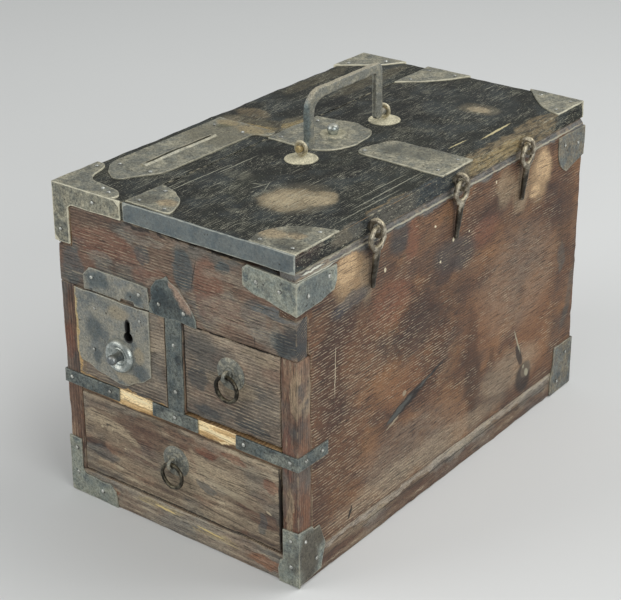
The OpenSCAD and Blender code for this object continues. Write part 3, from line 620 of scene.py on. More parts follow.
def wood(
    name,
    grain,
    pith,
    shades,
    dust,
    marks=(),
    scars_and_painted_light=(),
    drifts=(),
    dash=0.6,
    period=2.2,
    contrast=0.3,
    warm=("7a4a30", 0.0),
    cool=("4c5050", 0.0),
    wear="8f7f69",
    edge=0.6,
    width=0.8,
    scratches=0.0,
    gloss=0.5,
    soft=0.17,
):
    """A worn board with its grain along an axis, cut at some distance from the pith.

    Shades go from dark to light. Marks are (colour, share, streaky, places) with ragged rims, some of them
    painted shadow, highlight or reflection, and scars_and_painted_light are (colour, share, places) with
    clean ones: real cuts and scratches, painted shade in gaps and painted highlights on edges. Dash is the
    share of dust in the grain and drifts the places where it lies thick. Warm and cool are tones that come
    and go, each with its share."""
    finish, tree, shader, place = new_finish(name)
    rough_place = ragged(tree, place, 22, 9)
    # Broad tones, and growth lines
    rings = growth(tree, place, grain, pith, period)
    body = streaks(tree, rough_place, grain, 70, 30, 0.3, 0.7, 3.1, 4.0)
    fibre = streaks(tree, place, grain, 9, 1.1, 0.3, 0.7, 8.4, 3.0)
    lines = add(tree, "Math", {0: rings, 1: add(tree, "MapRange", {0: fibre, 3: 0.35})}, operation="MULTIPLY")
    mixed = add(tree, "Math", {0: body, 1: 1 - contrast}, operation="MULTIPLY")
    mixed = add(tree, "Math", {0: lines, 1: contrast * 1.4, 2: mixed}, operation="MULTIPLY_ADD")
    dark, middle, light = (paint(shade) for shade in shades)
    colour = add(tree, "ValToRGB", {0: mixed}, stops=[(0.12, dark), (0.88, light), (0.48, middle)])
    for (code, share), seed in ((warm, 5.1), (cool, 9.7)):
        if share:
            cloud = streaks(tree, rough_place, grain, 42, 26, 0.48, 0.62, seed, 5.0)
            colour = lay_over(tree, colour, code, cloud, share)
    broken = streaks(tree, place, grain, 14, 2.2, 0.4, 0.54, 5.5, 3.0)
    for code, share, streaky, places in marks:
        mask = spots(tree, rough_place, places, soft)
        gaps = add(tree, "MapRange", {0: broken, 3: 1 - streaky})
        mask = add(tree, "Math", {0: mask, 1: gaps}, operation="MULTIPLY")
        colour = lay_over(tree, colour, code, mask, share)
    speck = streaks(tree, place, grain, 2.0, 0.9, 0.3, 0.7, 7.2, 4.0)
    colour = mottle(tree, colour, speck, 0, 1, 0.66, 1.34)
    # Dark pores and splits, under a millimetre wide
    pores = streaks(tree, place, grain, 16, 0.6, 0.4, 0.35, 1.9, 1.0)
    colour = lay_over(tree, colour, "1a1310", pores, 0.7)
    # Pale dust in the open grain: crisp dashes along the growth lines, thick in drifts
    crest = add(tree, "MapRange", {0: rings, 1: 0.72, 2: 0.94})
    short = streaks(tree, ragged(tree, place, 14, 1.4), grain, 7.5, 0.8, 0.49, 0.55, 4.6, 1.0)
    dashes = add(tree, "Math", {0: crest, 1: short}, operation="MULTIPLY")
    where = streaks(tree, rough_place, grain, 34, 16, 0.5, 0.66, 2.2, 4.0)
    if drifts:
        where = add(tree, "Math", {0: where, 1: spots(tree, rough_place, drifts)}, operation="MAXIMUM")
    where = add(tree, "MapRange", {0: where, 3: 0.1})
    dashes = add(tree, "Math", {0: dashes, 1: where}, operation="MULTIPLY")
    colour = lay_over(tree, colour, dust, dashes, dash)
    if scratches:
        # Fine scratches that cross each other at a slant, and pale specks
        for turn, along, seed in ((0, 26, 9.9), (3, 15, 3.3), (-8, 9, 6.1)):
            lean = {"Vector": place, "Angle": math.radians(turn)}
            at = add(tree, "VectorRotate", lean, rotation_type="Z_AXIS")
            fine = streaks(tree, at, grain, along, 0.4, 0.64, 0.68, seed, 1.0)
            here = streaks(tree, rough_place, grain, 40, 18, 0.46, 0.6, seed + 1, 3.0)
            fine = add(tree, "Math", {0: fine, 1: here}, operation="MULTIPLY")
            colour = lay_over(tree, colour, dust, fine, scratches)
        dots = add(tree, "TexNoise", {"Vector": place, "Scale": 1 / 1.5, "Detail": 1.0})
        dots = add(tree, "MapRange", {0: dots, 1: 0.685, 2: 0.73})
        colour = lay_over(tree, colour, dust, dots, scratches)
    if edge:
        colour = lay_over(tree, colour, wear, near_edge(tree, place, width, 5.0), edge)
    fine_place = ragged(tree, place, 6, 1.2)
    for code, share, places in scars_and_painted_light:
        colour = lay_over(tree, colour, code, spots(tree, fine_place, places, 0.22), share)
    height = add(tree, "Math", {0: lines, 1: 0.6, 2: dashes}, operation="MULTIPLY_ADD")
    height = add(tree, "Math", {0: pores, 1: -1.0, 2: height}, operation="MULTIPLY_ADD")
    coat(tree, shader, colour, height, 0.6, 0.35, body, 0.6, 0.8)
    shader.inputs["Specular IOR Level"].default_value = gloss
    return finish


def sheet_iron(
    name,
    base,
    dark,
    dust,
    dusty,
    patches,
    rim_tone="d2cdb6",
    rim=0.9,
    marks=(),
    holes_painted_dark=(),
    metallic=0.35,
    grit=1.0,
):
    """Hand-cut sheet iron with a patina, dust that lies on it, pits and rubbed edges, and a painted highlight
    on the edges that face the front or the right
    """
    finish, tree, shader, place = new_finish(name)
    rough_place = ragged(tree, place, 9, 5)
    blotch = add(tree, "TexNoise", {"Vector": rough_place, "Scale": 1 / 15, "Detail": 5.0, "Roughness": 0.62})
    dim = add(tree, "MapRange", {0: blotch, 1: 0.51, 2: 0.42})
    colour = lay_over(tree, paint(base), dark, dim, patches)
    cloud = add(tree, "TexNoise", {"Vector": place, "Scale": 1 / 14, "Detail": 9.0, "Roughness": 0.84})
    dusting = add(tree, "MapRange", {0: cloud, 1: 0.42, 2: 0.58, 4: dusty})
    colour = lay_over(tree, colour, dust, dusting)
    for code, share, places in marks:
        colour = lay_over(tree, colour, code, spots(tree, rough_place, places, 0.35), share)
    speck = add(tree, "TexNoise", {"Vector": place, "Scale": 1 / 1.8, "Detail": 4.0, "Roughness": 0.8})
    colour = mottle(tree, colour, speck, 0.34, 0.66, 1 - 0.64 * grit, 1 + 0.6 * grit)
    # Rust pits, one to two millimetres across
    hole = add(tree, "TexNoise", {"Vector": place, "Scale": 1 / 2.8, "Detail": 1.0})
    pits = add(tree, "MapRange", {0: hole, 1: 0.31, 2: 0.25})
    colour = lay_over(tree, colour, "2c241b", pits, 0.8)
    # Rims rubbed pale, lightest where they face the front or the right: wear, with a painted highlight on
    # those edges. On the nails the rim colour is black, as painted shade
    normal = add(tree, "TexCoord", out="Normal")
    facing = add(tree, "VectorMath", {0: normal, 1: (1, -1, 0)}, out="Value", operation="DOT_PRODUCT")
    facing = add(tree, "MapRange", {0: facing, 1: 0.0, 2: 0.35, 3: 0.2, 4: 1.0})
    rim_wear_and_light = add(tree, "Math", {0: near_edge(tree, place, 0.35, 1.6), 1: facing}, operation="MULTIPLY")
    colour = lay_over(tree, colour, rim_tone, rim_wear_and_light, rim)
    # Keyholes painted black, wider than the hole that is cut and with a painted slot: painted shade of their
    # depth
    if holes_painted_dark:
        colour = lay_over(tree, colour, "080706", spots(tree, place, holes_painted_dark, 0.12))
    height = add(tree, "Math", {0: blotch, 1: 1.5, 2: speck}, operation="MULTIPLY_ADD")
    height = add(tree, "Math", {0: pits, 1: -1.0, 2: height}, operation="MULTIPLY_ADD")
    coat(tree, shader, colour, height, 0.5, 0.35, dusting, 0.42, 0.66)
    shader.inputs["Metallic"].default_value = metallic
    return finish


def forged_iron(name, base, bright, dust, dusty, metallic=0.75, roughness=0.4, marks=(), grit=1.0):
    """Forged iron: dark scale, rubbed bright in places, with dust on what faces up"""
    finish, tree, shader, place = new_finish(name)
    blotch = add(tree, "TexNoise", {"Vector": place, "Scale": 1 / 5, "Detail": 4.0, "Roughness": 0.6})
    colour = lay_over(tree, paint(base), bright, add(tree, "MapRange", {0: blotch, 1: 0.46, 2: 0.62}), 0.7)
    facing = add(tree, "SeparateXYZ", {0: add(tree, "TexCoord", out="Normal")}, out=2)
    lying = add(tree, "Math", {0: blotch, 1: 1.2, 2: facing}, operation="MULTIPLY_ADD")
    lying = add(tree, "MapRange", {0: lying, 1: 0.9, 2: 1.5})
    colour = lay_over(tree, colour, dust, lying, dusty)
    rough_place = ragged(tree, place, 4, 1.5)
    for code, share, places in marks:
        colour = lay_over(tree, colour, code, spots(tree, rough_place, places, 0.3), share)
    speck = add(tree, "TexNoise", {"Vector": place, "Scale": 1 / 1.1, "Detail": 3.0, "Roughness": 0.7})
    colour = mottle(tree, colour, speck, 0.3, 0.7, 1 - 0.5 * grit, 1 + 0.45 * grit)
    coat(tree, shader, colour, speck, 0.4 * grit, 0.25, lying, roughness, roughness + 0.22)
    shader.inputs["Metallic"].default_value = metallic
    return finish


def stage_paper():
    """Matt pale paper for the stage, very slightly uneven"""
    finish, tree, shader, place = new_finish("Matt pale paper")
    cloud = add(tree, "TexNoise", {"Vector": place, "Scale": 1 / 400, "Detail": 2.0})
    tree.links.new(mottle(tree, tone("d4d5d4"), cloud, 0, 1, 0.97, 1.0), shader.inputs["Base Color"])
    shader.inputs["Roughness"].default_value = 0.9
    return finish


FINISH = {}

# Marks on the wood, by finish: colour, share, how streaky, and places with ragged rims. Some rows are painted
# shadow, highlight or reflection, as noted
MARKS = {
    "side": [
        ("82533d", 0.5, 0.4, on_side((-63, 250, 9, 20), (49, 221, 22, 13, 10), (-92, 205, 26, 20))),
        ("8a6040", 0.5, 0.3, on_side((-70, 120, 30, 16), (60, 130, 40, 30), (140, 90, 30, 50))),
        ("34221b", 0.6, 0.2, on_side((36, 90, 12, 60, 4), (60, 236, 26, 6), (-170, 175, 16, 60))),
        ("3a2a24", 0.5, 0.2, on_side((-30, 170, 60, 18, 12), (66, 60, 8, 40), (190, 190, 14, 50))),
        ("4a3226", 0.45, 0.3, on_side((-166, 100, 36, 50), (-186, 60, 16, 30))),
        ("4a3026", 0.45, 0.2, on_side((-143, 188, 36, 24, 14), (-176, 150, 18, 30))),
        ("403f3e", 0.75, 0.1, on_side((-80, 258, 13, 14), (3, 212, 30, 15, -10), (-120, 264, 16, 6))),
        ("3c2f2b", 0.7, 0.2, on_side((-152, 221, 18, 9), (-12, 200, 16, 8, 20))),
        ("9b8262", 0.9, 0.2, on_side((-146, 247, 19, 24), (138, 241, 19, 24))),
        ("8c7a62", 0.8, 0.3, on_side((80, 247, 16, 16), (106, 236, 14, 20), (-126, 238, 8, 20))),
        ("c9ab84", 0.75, 0.4, on_side((-151, 255, 12, 12), (143, 248, 12, 14), (130, 228, 9, 6))),
        ("43464a", 0.7, 0.1, on_side((-146, 226, 24, 7, 8), (200, 262, 14, 9))),
        # Blue-grey streaks at the far upright edge: painted highlight
        ("50534f", 0.55, 0.3, on_side((206, 102, 6, 42, -16), (185, 145, 6, 14))),
        # A grey-blue band along the ledge under the lid: painted bluish reflection
        ("5f6463", 0.8, 0.1, on_side((0, 271, 500, 5))),
        ("8d7c6a", 0.45, 0.6, on_side((-60, 60, 70, 26), (110, 150, 60, 50))),
        ("9a8a74", 0.6, 0.4, on_side((-40, 38, 130, 13), (100, 60, 50, 20))),
    ],
    "front": [
        ("784c3b", 0.5, 0.3, on_front((-70, 246, 42, 12), (38, 238, 14, 26), (-20, 232, 24, 8))),
        ("7a4a33", 0.6, 0.3, on_front((70, 224, 30, 10))),
        # Blue-grey patches on the front: painted bluish reflection
        ("475052", 0.85, 0.1, on_front((14, 247, 11, 16), (54, 259, 9, 6), (112, 212, 14, 9))),
        ("475052", 0.65, 0.3, on_front((-108, 218, 12, 18), (-30, 250, 10, 8), (84, 228, 12, 16))),
        ("8a7f70", 0.6, 0.5, on_front((70, 224, 40, 14), (-8, 228, 20, 7), (60, 252, 26, 5))),
        ("8f8a7e", 0.5, 0.6, on_front((-76, 234, 14, 5), (-30, 262, 24, 4), (90, 212, 14, 6))),
        # A black line under the lid's front band: painted shadow
        ("14110f", 0.85, 0.0, on_rim((37, 272.5, 92, 3.0))),
        # The same grey-blue band on the front board's end: painted bluish reflection
        ("5d6260", 0.8, 0.1, on_side((-207, 268, 16, 8))),
        ("596061", 0.8, 0.1, on_front((112, 267, 28, 8), (104, 236, 22, 6))),
        ("36383a", 0.85, 0.1, on_side((-207, 216, 8, 22), (-207, 262, 9, 10))),
    ],
    "drawer": [
        ("3b3f40", 0.75, 0.2, on_front((24.6, 157, 11, 10), (36, 131, 14, 5), (80, 128, 18, 4))),
        ("8a7c66", 0.6, 0.4, on_front((88, 195, 17, 6), (60, 160, 24, 10))),
        ("b39260", 0.95, 0.0, on_rim((-107, 160, 1.8, 46), (-60, 119.5, 52, 1.9))),
        ("7e6a52", 0.7, 0.3, on_front((-103, 160, 4, 40))),
    ],
    "wide drawer": [
        ("5d4234", 0.6, 0.2, on_front((-40, 85, 30, 12), (16, 92, 26, 6), (84, 52, 22, 8, -12))),
        ("74432f", 0.6, 0.3, on_front((32, 92, 12, 4), (60, 94, 14, 4), (98, 83, 9, 6))),
        ("a3937a", 0.8, 0.1, on_front((-84, 82, 20, 8, -14), (-64, 77, 22, 4, -18), (44, 75, 32, 5, -22))),
        ("8d7f6a", 0.7, 0.4, on_front((-20, 50, 60, 7, 3), (60, 37, 44, 6, 3), (74, 62, 18, 5, -20))),
        ("474f51", 0.6, 0.2, on_front((-88, 50, 20, 5, -8), (88, 45, 4, 10), (30, 58, 10, 4))),
        ("2f2622", 0.6, 0.3, on_front((-14, 99, 30, 2.5), (-94, 58, 12, 4, -8))),
    ],
    "post": [
        ("9a876d", 0.7, 0.3, on_front((121, 172, 4, 22), (116, 60, 3, 30))),
        ("74432f", 0.5, 0.3, on_front((-118, 146, 6, 16), (114, 120, 6, 24))),
    ],
    "base": [
        ("a1988a", 0.7, 0.4, on_side((0, 22.5, 240, 3.5))),
        ("55392c", 0.6, 0.4, on_side((0, 6, 240, 7))),
    ],
    "base front": [
        ("8a5a3c", 0.7, 0.3, on_front((89, 12, 20, 6), (-88, 14, 16, 5))),
        ("a3936f", 0.6, 0.3, on_front((-22, 19, 26, 2, 2), (36, 15, 26, 2, 2))),
    ],
    "top": [
        ("857559", 0.75, 0.75, on_top((121, -88, 6, 34), (120, 66, 9, 56), (117, 138, 9, 34))),
        ("94835f", 0.8, 0.6, [blot(124, 60, 282, 7, 66, 9)]),
        ("71695a", 0.7, 0.3, [blot(124, -148, 282, 6, 22, 9)]),
        ("4c3b35", 0.7, 0.3, [blot(124, -196, 284, 6, 20, 9)]),
        ("56503f", 0.7, 0.6, on_top((-112, 120, 10, 50), (-70, 150, 10, 60))),
        ("7a6c53", 0.6, 0.6, on_top((-100, 12, 20, 10), (-106, -60, 8, 60))),
        ("3c4347", 0.7, 0.3, on_top((124, -60, 6, 90))),
        ("2d3130", 0.6, 0.3, on_top((50, 150, 40, 40), (-24, -140, 12, 14))),
        ("625b4b", 0.7, 0.3, on_top((56, -126, 30, 32), (57, 140, 20, 14))),
        ("8a7d64", 0.9, 0.1, on_top((52, -130, 22, 24), (70, -114, 14, 15), (106, -186, 10, 10))),
        ("a4967a", 0.7, 0.3, on_top((48, -132, 12, 15), (70, -120, 11, 10), (57, 140, 12, 8))),
        ("736a54", 0.55, 0.5, on_top((-84, -8, 34, 14), (-58, 4, 10, 26))),
        ("9d8a5e", 0.7, 0.5, on_top((-78, -18, 22, 7, 12), (-60, -24, 14, 5), (-54, 8, 5, 14))),
        ("2a261e", 0.7, 0.3, on_top((-92, 2, 11, 3, 20), (-66, -3, 12, 3, -24))),
        ("777565", 0.35, 0.9, on_top(
            (-15, -112, 13, 9), (40, 60, 16, 5, 30), (-9, 153, 5, 4), (34, -174, 9, 5),
        )),
        ("201f1f", 0.8, 0.2, [blot(124, -188, 280, 6, 26, 6)]),
    ],
}

# Scars on the wood, by finish: colour, share and places with clean rims. Some rows are painted shade in gaps
# or painted highlights on edges, as noted
SCARS_SHADE_AND_HIGHLIGHTS = {
    "side": [
        # Pale lines along the edges of the ledge under the lid: painted highlights
        ("a9a693", 0.75, on_side(
            (-40, 268.2, 150, 0.7), (150, 268.4, 60, 0.7), line(-214, 272, -130, 272, 0.8),
        )),
        ("cfd0bf", 0.8, on_side(line(-214, 266.7, -166, 266.7, 0.7), line(-206, 269.8, -180, 269.8, 0.6))),
        ("1c1a1a", 0.9, on_side(line(-8, 120, -100, 93, 2.0), (-66, 102.6, 30, 5.0, 16))),
        ("5a5d59", 0.6, on_side((-76, 99.5, 20, 2.6, 16), (-40, 110.5, 12, 1.0, 16))),
        ("9c9079", 0.8, on_side((-70.5, 112.8, 3.0, 2.6), (-87, 92, 10, 1.0, 16))),
        ("c9bda3", 0.7, on_side(line(-165.3, 196, -167.2, 152, 0.5))),
        ("2a2421", 0.85, on_side((125, 43, 13, 15, 8), (116, 70, 4, 14, 25))),
        ("675c4e", 0.85, on_side((130, 50, 8, 8.5))),
        ("a39e88", 0.8, on_side((132, 46, 2.4, 4.4, 20), (126, 54, 1.6, 2.0), line(106, 99, 118, 72, 1.0))),
        ("ddd2b4", 0.9, on_side((-2, 227.5, 1.6, 1.8), (-21, 214, 1.2, 1.2), (-30, 249, 1.2, 1.2))),
        ("ddd2b4", 0.8, on_side((64, 258, 1.2, 1.5), (22, 227, 1.1, 1.1), (-101, 236, 1.4, 2.2))),
        ("100d0b", 0.9, on_side((-146, 36, 6, 1.4, 60))),
    ],
    "front": [
        ("221813", 0.7, on_front(line(26.6, 261, 20.4, 232, 0.45), (83.6, 205.5, 0.5, 5))),
        ("a89e88", 0.5, on_front((-103, 213, 7, 0.8), (-15, 264, 10, 0.5, -4))),
    ],
    "drawer": [
        # Black lines along the gaps at the drawer's side and top: painted shade in the gaps
        ("0c0a08", 0.9, on_rim((11, 162, 1.1, 45), (59, 200.6, 52, 0.6))),
        # Black on the drawer front behind the keyhole: painted shade inside the lock
        ("060505", 1.0, [blot(-47.5, -200, 175, 10, 40, 16)]),
    ],
    "wide drawer": [
        # Black lines along the gaps at the drawer's right and bottom: painted shade in the gaps
        ("0c0a08", 0.9, on_rim((105, 65, 1.0, 40), (0, 27.4, 108, 0.7))),
        ("5b4438", 0.5, on_front((-80, 88, 16, 2.2, -12), (-50, 82, 10, 2, -16))),
        ("a3967d", 0.5, on_front(
            line(-60, 64, -20, 58, 1.0), line(14, 82, 36, 66, 2.2), line(36, 66, 84, 55, 2.8),
        )),
        ("3a2f29", 0.6, on_front(
            line(-104, 48, -40, 40, 0.8), line(-20, 44, 80, 34, 0.7), (-80, 78, 1.4, 1.4),
        )),
        ("c0b294", 0.7, on_front(
            (-86, 75, 1.5, 1.2), (-74, 76, 1.2, 1), (-60, 62, 1.1, 1), (94, 58, 3, 1, -20),
        )),
    ],
    "base": [
        ("241c17", 0.7, on_side(line(-170, 16.5, 200, 15.5, 0.6))),
    ],
    "base front": [
        ("d6c084", 0.9, on_front(line(-28, 19.6, -6, 18.8, 0.9), line(18, 16.8, 46, 14.8, 0.8))),
        ("b9a67c", 0.6, on_front(line(-46, 18, -24, 17.4, 0.6), line(44, 12.6, 64, 11.2, 0.6))),
    ],
    "rail": [
        ("b98d50", 0.6, on_front((-44, 107, 34, 2.4), (34, 108, 16, 2.4), (50, 116, 14, 2))),
        ("f8e6ba", 0.9, on_front(line(-62, 116.5, -28, 114, 1.4), line(24, 113, 62, 109.6, 1.8))),
        ("8c6536", 0.6, on_front(
            line(-62, 110, -28, 109, 0.6), line(26, 111.5, 62, 109.5, 0.5), line(30, 108, 60, 107.6, 0.5),
        )),
    ],
    "top": [
        ("cbbf93", 0.85, on_top(line(100, 77, 99, 124, 1.3), line(90, 40, 91, 66, 0.7), (131, 88, 1.6, 16))),
        ("a7a693", 0.75, on_top(
            line(-36, -178, -34, -100, 0.5), line(-30, -120, -29, -70, 0.5), line(-42, -196, -41, -150, 0.4),
        )),
        ("a7a693", 0.7, on_top(
            line(104, -120, 103, -20, 0.5), line(94, -100, 95, -30, 0.4), line(110, -150, 110, -60, 0.4),
        )),
        ("a7a693", 0.6, on_top(
            line(13, -130, 18, -114, 0.5), line(25, -128, 17, -110, 0.4), line(6, -121, 16, -118, 0.5),
        )),
        ("0b0b0a", 0.8, on_top(line(-46, -30, -46, 190, 0.7), (-44, -36, 2.4, 3.4))),
    ],
}

# Marks on the irons, by finish: colour, share and places with ragged rims. The bail's blue-grey and dark leg
# faces are painted reflection and painted shade
IRON_MARKS = {
    "dusty iron": [
        ("a08c6c", 0.65, on_top((84, -192, 14, 9), (-18, -194, 9, 6), (102, -186, 8, 6))),
        ("57574c", 0.5, on_top((84, 28, 18, 26), (60, 12, 14, 14))),
        ("3f4039", 0.6, on_top((108, -202, 16, 9), (76, -207, 12, 5), (96, -174, 9, 12), (-36, -198, 9, 10))),
    ],
    "slot iron": [
        ("6f6b59", 0.7, on_top((-88, -54, 34, 24))),
        ("9a8860", 0.65, on_top((-72, -26, 16, 9), (-100, -24, 12, 7), (-56, -19, 6, 3))),
        ("57563f", 0.7, on_top((-97, -32, 7, 5, 20))),
    ],
    "case iron": [
        ("4d463b", 0.85, on_side((-203, 24, 12, 28), (-189, 42, 11, 15))),
        ("4e585c", 0.6, on_side((-192, 250, 18, 20))),
    ],
    "lock iron": [
        ("4d595c", 0.7, on_front((-80, 213, 14, 7), (-40, 208, 10, 5))),
        ("c6ab76", 0.85, on_front((-106.2, 158, 1.7, 44))),
        ("4b5558", 0.7, on_front((-86, 168, 8, 12), (-36, 141, 9, 10), (-84, 143, 5, 7))),
        ("a1947a", 0.6, on_front((-58, 190, 12, 6), (-37, 158, 6, 8), (-50, 133, 14, 5))),
    ],
    "cap iron": [
        ("a58c79", 0.9, on_front((11, 224, 15, 6.0, -52), (3, 232, 5, 4))),
        ("2b383e", 0.6, on_front((-12, 218, 8, 8))),
    ],
    "bail iron": [
        # Blue-grey on the near leg's outer face: painted bluish reflection
        ("5d6e70", 0.7, [blot(HANDLE_X, -49, 318, 5, 6, 27)]),
        ("b5a06f", 0.9, [blot(HANDLE_X, -57, 297.5, 5, 4.5, 5)]),
        ("b5a06f", 0.9, [blot(HANDLE_X, 68.5, 297.5, 5, 4, 5)]),
        # Dark on the far leg's inner face: painted shade
        ("3a3a36", 0.6, [blot(HANDLE_X, 52, 318, 1.6, 6, 20)]),
    ],
}


